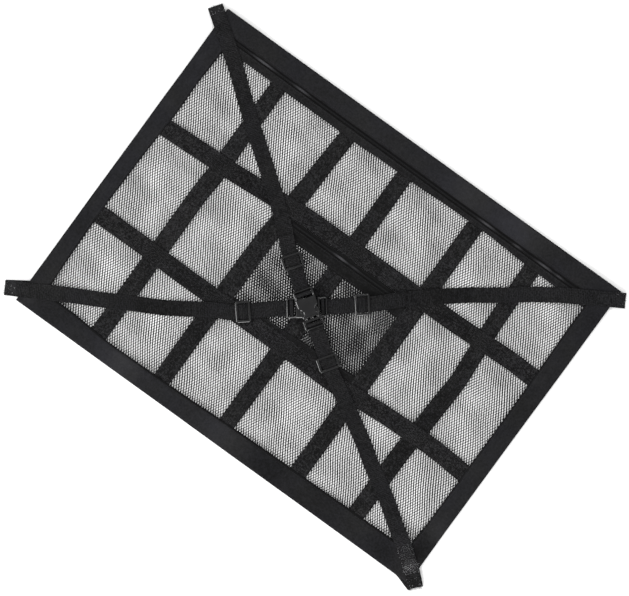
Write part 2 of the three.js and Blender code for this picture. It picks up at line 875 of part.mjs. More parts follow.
// A straight-sided route with its distances, softened at the bends. place can swing a point about
// the route's start, for the ply under the corner
class Route {
  constructor(points) {
    this.points = points.map((point) => new THREE.Vector2(point.x, point.y));
    this.distances = [0];
    for (let index = 1; index < this.points.length; index += 1) {
      const step = this.points[index].distanceTo(this.points[index - 1]);
      this.distances.push(this.distances[index - 1] + step);
    }
  }

  get length() {
    return this.distances[this.distances.length - 1];
  }

  sharp(distance) {
    const found = this.distances.findIndex((value) => value >= distance);
    const last = this.points.length - 1;
    const upper = found === -1 ? last : Math.max(1, found);
    const from = this.distances[upper - 1];
    const part = (distance - from) / (this.distances[upper] - from);
    return this.points[upper - 1].clone().lerp(this.points[upper], part);
  }

  soft(distance) {
    const reach = 7;
    return this.sharp(distance - reach)
      .add(this.sharp(distance + reach))
      .add(this.sharp(distance).multiplyScalar(2))
      .multiplyScalar(0.25);
  }

  place(distance, across, height, turn = 0) {
    const start = this.soft(0);
    const step = 1;
    const ahead = this.soft(distance + step).sub(this.soft(distance - step)).normalize();
    const point = this.soft(distance);
    point.x -= across * ahead.y;
    point.y += across * ahead.x;
    point.rotateAround(start, THREE.MathUtils.degToRad(turn));
    return new THREE.Vector3(point.x, point.y, height);
  }
}

function buckleAxis(buckle) {
  const angle = THREE.MathUtils.degToRad(buckle.angle);
  return new THREE.Vector2(Math.cos(angle), Math.sin(angle));
}

// The socket half is on the side that the axis points away from
function strapRoute(strap) {
  const { buckle, glide } = strap;
  const outward = buckleAxis(buckle).multiplyScalar(strap.ladder === socketLadder ? -1 : 1);
  const centre = new THREE.Vector2(buckle.x, buckle.y);
  const buckleEnd = centre.clone().addScaledVector(outward, BUCKLE_LENGTH / 2);
  const glideCentre = new THREE.Vector2(glide.x, glide.y);
  const glideWay = buckleEnd.clone().sub(glideCentre).normalize();
  const straightBefore = 22;
  const straightAfter = 20;
  const straightAtBuckle = 9;
  const points = [
    ...strap.points,
    glideCentre.clone().addScaledVector(glideWay, -straightBefore),
    glideCentre.clone().addScaledVector(glideWay, straightAfter),
    buckleEnd.clone().addScaledVector(outward, straightAtBuckle),
    centre,
  ];
  const route = new Route(points);
  const glideAt = route.distances[strap.points.length] + straightBefore;
  const buckleAt = route.length - BUCKLE_LENGTH / 2;
  const glideAngle = Math.atan2(glideWay.y, glideWay.x);
  return { route, glideAt, buckleAt, glideCentre, glideAngle };
}

// The lowest height at which the strap clears what is below it, smoothed along its length
function restHeight(route, distance) {
  const spread = 9;
  const soften = 5;
  const sides = steps(-STRAP_WIDTH / 2, STRAP_WIDTH / 2, STRAP_WIDTH / 4);
  const needed = (at) => {
    let height = 0;
    for (const near of steps(at - spread, at + spread, 3)) {
      for (const side of sides) {
        const point = route.place(near, side, 0);
        height = Math.max(height, stackTop(point.x, point.y));
      }
    }
    return height + GAP;
  };
  const samples = steps(distance - soften, distance + soften, 2.5).map(needed);
  return samples.reduce((sum, value) => sum + value, 0) / samples.length;
}

// Leaves out the points that lie on a straight line between their neighbours
function thinOut(points, tolerance) {
  const kept = [points[0]];
  let start = 0;
  while (start < points.length - 1) {
    let end = start + 1;
    while (end + 1 < points.length) {
      const next = points[end + 1];
      const origin = points[start];
      const slope = (next.z - origin.z) / (next.at - origin.at);
      const straight = points.slice(start + 1, end + 1).every((point) => {
        const line = origin.z + slope * (point.at - origin.at);
        return Math.abs(point.z - line) < tolerance;
      });
      if (!straight) break;
      end += 1;
    }
    kept.push(points[end]);
    start = end;
  }
  return kept;
}

// Highest point under the tri-glide, with its own gap
function glideFloor(glideCentre, glideAngle) {
  const along = new THREE.Vector2(Math.cos(glideAngle), Math.sin(glideAngle));
  let height = 0;
  for (const distance of steps(-GLIDE_LENGTH / 2, GLIDE_LENGTH / 2, 3)) {
    for (const side of steps(-GLIDE_WIDTH / 2, GLIDE_WIDTH / 2, 3)) {
      const x = glideCentre.x + along.x * distance - along.y * side;
      const y = glideCentre.y + along.y * distance + along.x * side;
      height = Math.max(height, stackTop(x, y));
    }
  }
  return height + GAP;
}

// Centre heights of the lower ply of the strap, from near the tip to the buckle
function lowerPly(strap, line, glideHeight) {
  const half = CLOTH / 2;
  const rest = steps(3, line.glideAt - 17, 3).map((at) => ({
    at,
    z: restHeight(line.route, at) + half,
  }));
  const low = glideHeight + GAP + half;
  const high = glideHeight + GLIDE_CENTRE_HIGH + GAP + half;
  const outside = GLIDE_LENGTH / 2 + 2;
  const underOuterBar = GLIDE_LENGTH / 2 - GLIDE_BAR - 0.6;
  const overCentreBar = GLIDE_CENTRE_BAR / 2 + 0.9;
  const glideRows = [
    { at: -outside, z: low },
    { at: -underOuterBar, z: low },
    { at: -overCentreBar, z: high },
    { at: overCentreBar, z: high },
    { at: underOuterBar, z: low },
    { at: outside, z: low },
  ].map(({ at, z }) => ({ at: line.glideAt + at, z }));
  const buckleLow = strap.buckle.floor + GAP + half;
  return [
    ...thinOut(rest, 0.06),
    ...glideRows,
    { at: line.buckleAt - 7, z: buckleLow },
    { at: line.buckleAt, z: buckleLow },
  ];
}

// The strap's route round the inner bar of its buckle half, by distance in from the buckle's end
function barLoop(ladder, buckleAt, floor) {
  const barFrom = ladder.outerBar + ladder.outerSlot;
  const barTo = barFrom + ladder.innerBar;
  const away = CLOTH / 2 + 0.4;
  const under = GAP + CLOTH / 2;
  const over = BAR_HIGH + away;
  const rows = [
    { inward: barTo - 0.1, height: under },
    { inward: barTo + 0.7, height: under + 0.4 },
    { inward: barTo + away, height: under + 1.2 },
    { inward: barTo + away, height: over - 1.0 },
    { inward: barTo + 0.5, height: over - 0.25 },
    { inward: barTo - 0.3, height: over },
    { inward: barFrom + 0.3, height: over },
    { inward: barFrom - 0.5, height: over - 0.25 },
    { inward: barFrom - away, height: over - 1.0 },
    { inward: barFrom - away, height: under + PLY_RISE + 0.9 },
    { inward: barFrom - away - 0.4, height: under + PLY_RISE + 0.25 },
    { inward: barFrom - away - 1.2, height: under + PLY_RISE },
  ];
  return rows.map(({ inward, height }) => ({ at: buckleAt + inward, z: floor + height }));
}

// The whole length of a strap as one ribbon: the ply under the corner, the fold outside it, the
// lower ply, the loop in the buckle and the upper ply with its free tail
function strapPath(strap, line, glideHeight) {
  const half = CLOTH / 2;
  const turn = strap.underTurn;
  const under = [
    { at: STRAP_UNDER_LENGTH, z: half, turn },
    { at: 30, z: half, turn },
    { at: 8, z: half, turn },
    { at: 1.6, z: half, turn: 0.6 * turn },
    { at: 0.8, z: half + 0.25, turn: 0.3 * turn },
    { at: 0.5, z: half + 0.9, turn: 0 },
    { at: 0.8, z: half + 1.55, turn: 0 },
    { at: 1.6, z: half + 1.9, turn: 0 },
  ];
  const lower = lowerPly(strap, line, glideHeight);
  const loop = barLoop(strap.ladder, line.buckleAt, strap.buckle.floor);
  const tailEnd = line.glideAt - strap.tail;
  const upper = lower
    .filter(({ at }) => at > tailEnd + 2)
    .map(({ at, z }) => ({ at, z: z + PLY_RISE }))
    .reverse();
  const endHeight = readTable(lower, 'at', tailEnd, 'z') + PLY_RISE;
  return [...under, ...lower, ...loop, ...upper, { at: tailEnd, z: endHeight }];
}

function strapSolid(strap, line, glideHeight) {
  const path = strapPath(strap, line, glideHeight);
  const half = CLOTH / 2;
  const outlines = path.map((here, index) => {
    const before = path[Math.max(0, index - 1)];
    const after = path[Math.min(path.length - 1, index + 1)];
    const into = new THREE.Vector2(here.at - before.at, here.z - before.z);
    const out = new THREE.Vector2(after.at - here.at, after.z - here.z);
    if (index === 0) into.copy(out);
    if (index === path.length - 1) out.copy(into);
    into.normalize();
    out.normalize();
    const way = into.clone().add(out).normalize();
    const widen = 1 / Math.max(0.7, way.dot(into));
    const normal = new THREE.Vector2(-way.y, way.x).multiplyScalar(half * widen);
    const corner = (side, face) => line.route.place(
      here.at + face * normal.x,
      (side * STRAP_WIDTH) / 2,
      here.z + face * normal.y,
      here.turn,
    );
    return [corner(-1, -1), corner(1, -1), corner(1, 1), corner(-1, 1)];
  });
  const profile = [
    new THREE.Vector2(-1, -1),
    new THREE.Vector2(1, -1),
    new THREE.Vector2(1, 1),
    new THREE.Vector2(-1, 1),
  ];
  return loftSolid(outlines, profile);
}

// Tri-glide: two outer bars over the strap and a centre bar under it

function triGlide() {
  const halfLength = GLIDE_LENGTH / 2;
  const halfWidth = GLIDE_WIDTH / 2;
  const cornerRadius = 3.5;
  const outline = roundedRectangle(
    [-halfLength, halfLength],
    [-halfWidth, halfWidth],
    cornerRadius,
  );
  const body = plate(outline, 0, GLIDE_HEIGHT, 0.8);
  const slotTo = halfLength - GLIDE_BAR;
  const slotFrom = GLIDE_CENTRE_BAR / 2;
  const across = [-SLOT_HALF, SLOT_HALF];
  const overCentre = block([-slotTo, slotTo], across, [GLIDE_CENTRE_HIGH, GLIDE_HEIGHT + 1]);
  const underFirst = block([slotFrom, halfLength + 1], across, [-1, GLIDE_OUTER_LOW]);
  const underSecond = block([-halfLength - 1, -slotFrom], across, [-1, GLIDE_OUTER_LOW]);
  return toGeometry(body.subtract(overCentre).subtract(underFirst).subtract(underSecond));
}

// Side-release buckle, lying along X, the socket half on the side of -X

// What is cut from a plate to leave the two bars of a ladder. end is the outer end of the plate
// and inward the sign of the way in
function ladderCuts(ladder, end, inward) {
  const across = [-SLOT_HALF, SLOT_HALF];
  const span = (from, to) => [end + inward * from, end + inward * to].sort((a, b) => a - b);
  const innerFrom = ladder.outerBar + ladder.outerSlot;
  const innerTo = innerFrom + ladder.innerBar;
  const ladderEnd = innerTo + ladder.innerSlot;
  const top = BUCKLE_HEIGHT + 1;
  return [
    block(span(ladder.outerBar, innerFrom), across, [-1, top]),
    block(span(innerTo, ladderEnd), across, [-1, top]),
    block(span(-1, ladder.outerBar), across, [-1, OUTER_BAR_LOW]),
    block(span(innerFrom, innerTo), across, [-1, BAR_LOW]),
    block(span(innerFrom, innerTo), across, [BAR_HIGH, top]),
    block(span(-1, ladderEnd - 1.5), [-BUCKLE_WIDTH, BUCKLE_WIDTH], [LADDER_HEIGHT, top]),
  ];
}

const MOUTH = 14;
const MOUTH_HALF = 14.6;
const RING_FROM = 10;
const SHOULDER_TO = -6;
const WAIST_HALF = 10.5;
const WINDOW_FROM = -3;
const CAVITY = { from: -11.5, halfWidth: 12.2, low: 2.2, high: 6.8 };
const END_RADIUS = 2;

function buckleSocket() {
  const end = -BUCKLE_LENGTH / 2;
  const half = BUCKLE_WIDTH / 2;
  const shape = new THREE.Shape();
  shape.moveTo(end + END_RADIUS, -half);
  shape.lineTo(SHOULDER_TO, -half);
  shape.bezierCurveTo(0, -half, -1, -WAIST_HALF, 3, -WAIST_HALF);
  shape.lineTo(5.5, -WAIST_HALF);
  shape.bezierCurveTo(8, -WAIST_HALF, 8, -MOUTH_HALF, 11, -MOUTH_HALF);
  shape.lineTo(MOUTH, -MOUTH_HALF);
  shape.lineTo(MOUTH, MOUTH_HALF);
  shape.lineTo(11, MOUTH_HALF);
  shape.bezierCurveTo(8, MOUTH_HALF, 8, WAIST_HALF, 5.5, WAIST_HALF);
  shape.lineTo(3, WAIST_HALF);
  shape.bezierCurveTo(-1, WAIST_HALF, 0, half, SHOULDER_TO, half);
  shape.lineTo(end + END_RADIUS, half);
  shape.quadraticCurveTo(end, half, end, half - END_RADIUS);
  shape.lineTo(end, -half + END_RADIUS);
  shape.quadraticCurveTo(end, -half, end + END_RADIUS, -half);
  let body = plate(shape, 0, BUCKLE_HEIGHT, 1);
  const inside = [-CAVITY.halfWidth, CAVITY.halfWidth];
  const height = [CAVITY.low, CAVITY.high];
  const cuts = [
    block([CAVITY.from, MOUTH + 1], inside, height),
    block([WINDOW_FROM, RING_FROM], [-BUCKLE_WIDTH, BUCKLE_WIDTH], height),
    ...ladderCuts(socketLadder, end, 1),
  ];
  for (const cut of cuts) body = body.subtract(cut);
  return toGeometry(body);
}

const PRONG_BASE = 17;
const ARM_ROOT = PRONG_BASE + 1;
const ARM_TIP = -9.5;
const ARM_HALF = 11.9;
const BUTTON_FROM = RING_FROM - 0.4;

// One springy arm with its side button. side is the sign of the side that it is on
function armShape(side) {
  const shape = new THREE.Shape();
  shape.moveTo(ARM_ROOT, side * 8.2);
  shape.lineTo(ARM_ROOT, side * ARM_HALF);
  shape.lineTo(BUTTON_FROM, side * ARM_HALF);
  shape.lineTo(BUTTON_FROM, side * MOUTH_HALF);
  shape.bezierCurveTo(7, side * 16.4, 2, side * 16.2, WINDOW_FROM + 0.6, side * ARM_HALF);
  shape.lineTo(ARM_TIP, side * 11.2);
  shape.lineTo(ARM_TIP, side * 9.0);
  shape.lineTo(-1, side * 9.0);
  return shape;
}

function buckleProngs() {
  const end = BUCKLE_LENGTH / 2;
  const half = BUCKLE_WIDTH / 2;
  const outline = roundedRectangle([PRONG_BASE, end], [-half, half], END_RADIUS);
  const { low, high } = BUCKLE_STRIP;
  let frame = plate(outline, 0, BUCKLE_HEIGHT - 0.5, 0.8);
  for (const cut of ladderCuts(prongLadder, end, -1)) frame = frame.subtract(cut);
  const arms = [-1, 1].map((side) => plate(armShape(side), low, high, 0));
  const guide = block([-6, ARM_ROOT], [-2.2, 2.2], [low, high]);
  return toGeometry(frame.add(arms[0]).add(arms[1]).add(guide));
}

// Assembly

const net = new THREE.Group();

function addPiece(name, geometry, look) {
  const material = new THREE.MeshStandardMaterial({
    color: look.color,
    roughness: look.roughness,
    metalness: 0,
  });
  const piece = new THREE.Mesh(geometry, material);
  piece.name = name;
  net.add(piece);
  return piece;
}

addPiece('net_panel', netPanel(), meshLook);
addPiece('pocket_panel', pocketPanel(), pocketLook);

for (const [name, geometry] of Object.entries(bindingStrips())) {
  addPiece(name, geometry, bindingLook);
}

shortTapes.forEach((tape, index) => {
  addPiece(`short_tape_${index + 1}`, shortTape(tape), webbingLook);
});

longTapes.forEach((tape, index) => {
  addPiece(`long_tape_${index + 1}`, longTape(tape), webbingLook);
});

addPiece('top_zip', topZip(), zipLook);
addPiece('top_zip_facing', topZipFacing(), facingLook);
addPiece('middle_zip', middleZip(), zipLook);
addPiece('middle_zip_facing', middleZipFacing(), facingLook);
addPiece('pocket_hem', pocketHem(), facingLook);

lowerBuckle.floor = TAPE_FLOOR + CLOTH + GAP;
upperBuckle.floor = lowerBuckle.floor + BUCKLE_HEIGHT + GAP;

for (const strap of straps) {
  const line = strapRoute(strap);
  const glideHeight = glideFloor(line.glideCentre, line.glideAngle);
  addPiece(`strap_${strap.name}`, strapSolid(strap, line, glideHeight), strapLook);
  const glide = addPiece(`tri_glide_${strap.name}`, triGlide(), plasticLook);
  glide.position.set(line.glideCentre.x, line.glideCentre.y, glideHeight);
  glide.rotation.z = line.glideAngle;
}

const buckles = { upper: upperBuckle, lower: lowerBuckle };
for (const [place, buckle] of Object.entries(buckles)) {
  const halves = { socket: buckleSocket(), prongs: buckleProngs() };
  for (const [half, geometry] of Object.entries(halves)) {
    const piece = addPiece(`buckle_${place}_${half}`, geometry, plasticLook);
    piece.position.set(buckle.x, buckle.y, buckle.floor);
    piece.rotation.z = THREE.MathUtils.degToRad(buckle.angle);
  }
}

export default net;
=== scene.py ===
"""Looks for the car ceiling storage net: mesh, webbing, binding, zips and buckles round the CAD frame.

Tables and lengths are in millimetres, as in the CAD source, and meshes are made in metres.
"""

import math

import bmesh
import bpy
import numpy as np
from mathutils import Matrix, Vector
from mathutils.bvhtree import BVHTree


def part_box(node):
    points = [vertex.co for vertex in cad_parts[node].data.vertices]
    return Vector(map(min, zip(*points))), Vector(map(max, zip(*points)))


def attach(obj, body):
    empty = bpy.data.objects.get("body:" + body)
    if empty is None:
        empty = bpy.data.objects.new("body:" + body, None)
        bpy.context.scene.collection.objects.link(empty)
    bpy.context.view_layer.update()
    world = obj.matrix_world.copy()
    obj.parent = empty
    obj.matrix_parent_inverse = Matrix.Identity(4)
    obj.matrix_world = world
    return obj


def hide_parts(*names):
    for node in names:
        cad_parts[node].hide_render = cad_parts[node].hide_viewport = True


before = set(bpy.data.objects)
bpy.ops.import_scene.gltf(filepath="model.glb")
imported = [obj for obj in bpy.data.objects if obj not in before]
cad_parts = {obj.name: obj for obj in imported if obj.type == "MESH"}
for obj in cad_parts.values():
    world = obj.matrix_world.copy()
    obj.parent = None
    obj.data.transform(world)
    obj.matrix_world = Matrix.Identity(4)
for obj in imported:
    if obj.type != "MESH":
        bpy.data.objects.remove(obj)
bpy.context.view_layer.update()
MM = 0.001
BODY = "root"
DOWN = Vector((0, 0, -1))
RAY_FROM = 0.08

# Sizes shared with the CAD source

GAP = 0.3
CLOTH = 1.0
LAYER_RISE = CLOTH + GAP
NET_FLOOR = LAYER_RISE
TAPE_FLOOR = 2 * LAYER_RISE
COVER_FLOOR = 3 * LAYER_RISE
NET_SAG = 1.15
CLEAR_NET = {"left": -364, "right": 362, "low": -252, "high": 239}
POCKET = {"low": -100, "high": 82, "width": 268}
POCKET_MARGIN = 17
LONG_TAPE_WIDTH = 30.5
TAPE_TUCK = 15
CROSSING_HALF = 18.5
CROSSING_RAMP = 11
CORNER_RAMP_X = (310, 340)
CORNER_RAMP_Y = (207, 237)
STRAP_WIDTH = 26
STRAP_UNDER_LENGTH = 58
PLY_RISE = CLOTH + 0.4
BUCKLE_LENGTH = 67
BUCKLE_WIDTH = 34
BUCKLE_HEIGHT = 9

# Columns: place along the edge, outer edge, inner edge

LEFT_EDGE = [
    (-298, -400, -368), (-230, -400, -368), (-200, -400, -370), (-75, -400, -372),
    (20, -399.5, -370), (119, -399.5, -366), (165, -399, -367.5), (220, -399, -365),
    (296, -399, -365),
]
RIGHT_EDGE = [
    (-297, 398, 363), (-230, 398, 363.5), (-197, 398, 366), (20, 399, 367),
    (138, 400, 366), (198, 400, 365), (299, 400, 364.5),
]
TOP_EDGE = [
    (-399, 296, 262), (-89, 297, 262.5), (168, 298, 263), (353, 299, 263.5), (400, 299, 263.5),
]
BOTTOM_EDGE = [
    (-400, -298, -260), (-309, -298, -259.5), (-229, -298, -265), (-92, -297.5, -262.5),
    (29, -297.5, -258), (168, -297, -255.5), (323, -297, -253), (398, -297, -253),
]

# Short tapes, columns: y, centre x, width

SHORT_TAPES = [
    [(-275, -256.5, 30.5), (-134, -257, 31), (-74, -257.5, 30), (20, -258, 30),
     (58, -255.5, 31), (157, -256, 28), (249, -256, 28)],
    [(-275, -128.5, 30), (-164, -129, 30.5), (-52, -127, 32.5), (20, -126.5, 32),
     (138, -120, 30.5), (198, -118, 28.5), (249, -115, 28.5)],
    [(-275, 1, 28.5), (-134, 2, 29.5), (-74, 1.5, 32), (20, 0.5, 31), (138, -0.5, 29),
     (249, -1.5, 28)],
    [(-275, 143.5, 30), (-164, 144, 30), (-52, 142.5, 31), (20, 141.5, 32), (138, 142, 29),
     (249, 141.5, 28)],
    [(-275, 261.5, 29.5), (-134, 262, 30.5), (-13, 267.5, 30), (20, 269.5, 28.5),
     (58, 266.5, 29), (138, 261, 28), (249, 258.5, 28.5)],
]

# Long tapes, columns: x, centre y

LONG_TAPES = [
    [(-381, 76.5), (-320, 79), (-229, 83), (-92, 93.5), (29, 95), (111, 95), (202, 95.5),
     (287, 98.5), (323, 100), (381, 98)],
    [(-381, -103), (-287, -102), (-196, -103.5), (-29, -101.5), (111, -102), (202, -94.5),
     (287, -92), (323, -93), (381, -97.5)],
]


def column(rows, place, index):
    """A column of a table at a place along it, straight between the rows."""
    return np.interp(place, [row[0] for row in rows], [row[index] for row in rows])


def reach_along(points):
    """The distance along a line of points, from 0 at the first."""
    return np.concatenate([[0], np.cumsum(np.hypot(*np.diff(points, axis=0).T))])


def unit(way):
    """Directions in plan, made one long."""
    return way / np.hypot(way[..., 0], way[..., 1])[..., None]


def left_of(way):
    return np.stack([-way[..., 1], way[..., 0]], -1)


def ramp(value, low, high):
    return np.clip((value - low) / (high - low), 0, 1)


def soft_ramp(value, low, high):
    part = ramp(value, low, high)
    return part * part * (3 - 2 * part)


def tape_x(number, y):
    return column(SHORT_TAPES[number], y, 1)


def tape_half(number, y):
    return column(SHORT_TAPES[number], y, 2) / 2


def long_y(number, x):
    return column(LONG_TAPES[number], x, 1)


def corner_lift(x, y):
    """The corners of the panel lie on the ends of the straps, one cloth higher."""
    return LAYER_RISE * np.minimum(ramp(np.abs(x), *CORNER_RAMP_X), ramp(np.abs(y), *CORNER_RAMP_Y))


def crossing_rise(numbers, x, y):
    nearest = np.min([np.abs(x - tape_x(number, y)) for number in numbers], axis=0)
    return LAYER_RISE * (1 - soft_ramp(nearest, CROSSING_HALF - 1.5, CROSSING_HALF + CROSSING_RAMP))


def part_across(place, edges):
    """From 0 at one edge of an opening to 1 at the next, and 0 between openings."""
    part = np.zeros_like(place)
    for low, high in edges:
        inside = (place > low) & (place < high)
        part = np.where(inside, (place - low) / (high - low), part)
    return part


def net_sag(x, y):
    """How far the net sinks between the tapes, unevenly."""
    edges_x = []
    low = np.full_like(x, CLEAR_NET["left"])
    for number in range(5):
        half = tape_half(number, y) + 1
        edges_x.append((low, tape_x(number, y) - half))
        low = tape_x(number, y) + half
    edges_x.append((low, np.full_like(x, CLEAR_NET["right"])))
    half = LONG_TAPE_WIDTH / 2 + 1
    upper, lower = long_y(0, x), long_y(1, x)
    edges_y = [
        (CLEAR_NET["low"], lower - half),
        (lower + half, upper - half),
        (upper + half, CLEAR_NET["high"]),
    ]
    bowl = np.sin(np.pi * part_across(x, edges_x)) * np.sin(np.pi * part_across(y, edges_y))
    fold = 0.68 + 0.32 * np.sin(0.07 * x + 0.05 * y)
    over_pocket = (
        (x > tape_x(1, y) - POCKET_MARGIN)
        & (x < tape_x(3, y) + POCKET_MARGIN)
        & (y > POCKET["low"] - POCKET_MARGIN)
        & (y < POCKET["high"] + POCKET_MARGIN)
    )
    return np.where(over_pocket, 0, NET_SAG * np.sqrt(np.maximum(bowl, 0)) * fold)


class Ripples:
    """A smooth, seeded field of waves over the plane, from -1 to 1 or so."""

    def __init__(self, seed, longest, shortest, count=9):
        random = np.random.default_rng(seed)
        lengths = np.exp(random.uniform(np.log(shortest), np.log(longest), count))
        angles = random.uniform(0, np.pi, count)
        self.wave = 2 * np.pi / lengths * np.array([np.cos(angles), np.sin(angles)])
        self.phase = random.uniform(0, 2 * np.pi, count)
        self.scale = math.sqrt(2 / count) * 0.7

    def __call__(self, x, y):
        total = np.zeros_like(np.asarray(x, float))
        for kx, ky, phase in zip(self.wave[0], self.wave[1], self.phase):
            total = total + np.sin(kx * x + ky * y + phase)
        return total * self.scale


# Meshes

def make_object(name, points, faces, uv=None, smooth=True):
    """An object from points in millimetres, faces as rows of indices, and a u, v pair for each corner
    of each face."""
    mesh = bpy.data.meshes.new(name)
    points = np.asarray(points, float) * MM
    sizes = [len(block[0]) for block in faces for _ in range(len(block))]
    loops = np.concatenate([np.asarray(block, int).ravel() for block in faces])
    starts = np.concatenate([[0], np.cumsum(sizes)[:-1]])
    mesh.vertices.add(len(points))
    mesh.vertices.foreach_set("co", points.astype(np.float32).ravel())
    mesh.loops.add(len(loops))
    mesh.loops.foreach_set("vertex_index", loops.astype(np.int32))
    mesh.polygons.add(len(sizes))
    mesh.polygons.foreach_set("loop_start", starts.astype(np.int32))
    if uv is not None:
        layer = mesh.uv_layers.new(name="cloth")
        layer.data.foreach_set("uv", np.asarray(uv, np.float32).ravel())
    mesh.update(calc_edges=True)
    mesh.validate()
    mesh.polygons.foreach_set("use_smooth", [smooth] * len(mesh.polygons))
    mesh.update()
    obj = bpy.data.objects.new(name, mesh)
    bpy.context.scene.collection.objects.link(obj)
    return obj


def fix_normals(obj, sharp_degrees=None):
    """Points the faces out, and marks the edges sharper than the angle as sharp."""
    built = bmesh.new()
    built.from_mesh(obj.data)
    bmesh.ops.recalc_face_normals(built, faces=built.faces)
    if sharp_degrees is not None:
        limit = math.radians(sharp_degrees)
        for edge in built.edges:
            if len(edge.link_faces) == 2 and edge.calc_face_angle(0) > limit:
                edge.smooth = False
    built.to_mesh(obj.data)
    built.free()
    return obj


def tube_faces(rows, columns):
    """Quads of a closed loop of columns swept along rows, and its two end faces."""
    row, side = np.meshgrid(np.arange(rows - 1), np.arange(columns), indexing="ij")
    here = row * columns + side
    ahead = row * columns + (side + 1) % columns
    quads = np.stack([here, ahead, ahead + columns, here + columns], -1).reshape(-1, 4)
    return quads, np.arange(columns)[::-1], (rows - 1) * columns + np.arange(columns)


def tubes(name, points):
    """Many closed tubes as one mesh, from their points by tube, ring and side."""
    count, rings, sides = points.shape[:3]
    quads, start, end = tube_faces(rings, sides)
    shift = (np.arange(count) * rings * sides)[:, None, None]
    caps = (np.stack([start, end])[None] + shift).reshape(-1, sides)
    return make_object(name, points.reshape(-1, 3), [(quads[None] + shift).reshape(-1, 4), caps])


def sweep(name, outlines, along, across, smooth_degrees=55):
    """A closed solid through a row of outlines. along has a length for each row, and across a
    length round the outline for each of its points; both go into the cloth UV map in metres."""
    rows, columns = outlines.shape[:2]
    quads, start, end = tube_faces(rows, columns)
    row = np.arange(rows - 1)[:, None]
    side = np.arange(columns)[None, :]
    u_here = np.broadcast_to(along[row], (rows - 1, columns))
    u_next = np.broadcast_to(along[row + 1], (rows - 1, columns))
    v_here = np.broadcast_to(across[side], (rows - 1, columns))
    v_next = np.broadcast_to(across[(side + 1) % columns], (rows - 1, columns))
    uv = np.stack([u_here, v_here, u_here, v_next, u_next, v_next, u_next, v_here], -1)
    ends = [np.stack([np.full(columns, along[place]), across[order % columns]], -1)
            for place, order in ((0, start), (rows - 1, end))]
    uv = np.concatenate([uv.reshape(-1, 2), *ends]) * MM
    obj = make_object(name, outlines.reshape(-1, 3), [quads, [start], [end]], uv)
    return fix_normals(obj, smooth_degrees)


def keep(obj, look, replaces=()):
    """Gives a piece its material and its body, and hides what it stands for."""
    obj.data.materials.clear()
    obj.data.materials.append(look)
    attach(obj, BODY)
    if replaces:
        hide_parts(*replaces)
    return obj


def paint(obj, rows, start=None):
    """Wear and painted light and shade by vertex, which lighten or darken the cloth, from spots of x,
    y, radius and strength. start has the value of each vertex before the spots are added."""
    count = len(obj.data.vertices)
    points = np.empty(count * 3, np.float32)
    obj.data.vertices.foreach_get("co", points)
    points = points.reshape(-1, 3) / MM
    total = np.zeros(count) if start is None else start
    for x, y, radius, strength in rows:
        distance = np.hypot(points[:, 0] - x, points[:, 1] - y)
        total = total + strength * np.exp(-((distance / radius) ** 2))
    layer = obj.data.attributes.new("wear_and_painted_light", "FLOAT", "POINT")
    layer.data.foreach_set("value", total.astype(np.float32))


# Materials

class Look:
    """A material with short calls for its nodes."""

    def __init__(self, name, color, roughness, specular=0.5):
        self.material = bpy.data.materials.new(name)
        self.material.use_nodes = True
        self.tree = self.material.node_tree
        self.shader = self.tree.nodes["Principled BSDF"]
        self.set("Base Color", (*color, 1))
        self.set("Roughness", roughness)
        self.set("Specular IOR Level", specular)

    def set(self, socket, value):
        self.shader.inputs[socket].default_value = value

    def node(self, kind, **settings):
        made = self.tree.nodes.new(kind)
        for key, value in settings.items():
            setattr(made, key, value)
        return made

    def feed(self, target, source):
        if isinstance(source, (int, float)):
            target.default_value = source
        else:
            self.tree.links.new(source, target)

    def math(self, operation, first, second=None, clamp=False):
        made = self.node("ShaderNodeMath", operation=operation, use_clamp=clamp)
        self.feed(made.inputs[0], first)
        if second is not None:
            self.feed(made.inputs[1], second)
        return made.outputs[0]

    def place(self):
        return self.node("ShaderNodeTexCoord").outputs["Object"]

    def cloth(self):
        """Lengths along and across the cloth, in metres."""
        source = self.node("ShaderNodeUVMap", uv_map="cloth").outputs["UV"]
        parts = self.node("ShaderNodeSeparateXYZ")
        self.feed(parts.inputs[0], source)
        return parts.outputs[0], parts.outputs[1]

    def noise(self, vector, scale, detail=2.0, roughness=0.5):
        made = self.node("ShaderNodeTexNoise")
        self.feed(made.inputs["Vector"], vector)
        made.inputs["Scale"].default_value = scale
        made.inputs["Detail"].default_value = detail
        made.inputs["Roughness"].default_value = roughness
        return made.outputs["Fac"]

    def spread(self, value, low, high, to_low, to_high):
        made = self.node("ShaderNodeMapRange")
        self.feed(made.inputs[0], value)
        for index, number in enumerate((low, high, to_low, to_high)):
            made.inputs[index + 1].default_value = number
        return made.outputs[0]

    def mix(self, factor, first, second):
        made = self.node("ShaderNodeMix", data_type="RGBA")
        self.feed(made.inputs["Factor"], factor)
        for socket, color in ((made.inputs[6], first), (made.inputs[7], second)):
            if isinstance(color, tuple):
                socket.default_value = (*color, 1)
            else:
                self.feed(socket, color)
        return made.outputs[2]

    def bump(self, height, distance, strength=1.0):
        made = self.node("ShaderNodeBump")
        made.inputs["Strength"].default_value = strength
        made.inputs["Distance"].default_value = distance
        self.feed(made.inputs["Height"], height)
        self.feed(self.shader.inputs["Normal"], made.outputs[0])


def wave(look, value, pitch, shift=0.0):
    """A sine of the given pitch in metres, from -1 to 1."""
    turned = look.math("MULTIPLY_ADD", value, 2 * math.pi / pitch)
    turned.node.inputs[2].default_value = shift
    return look.math("SINE", turned)


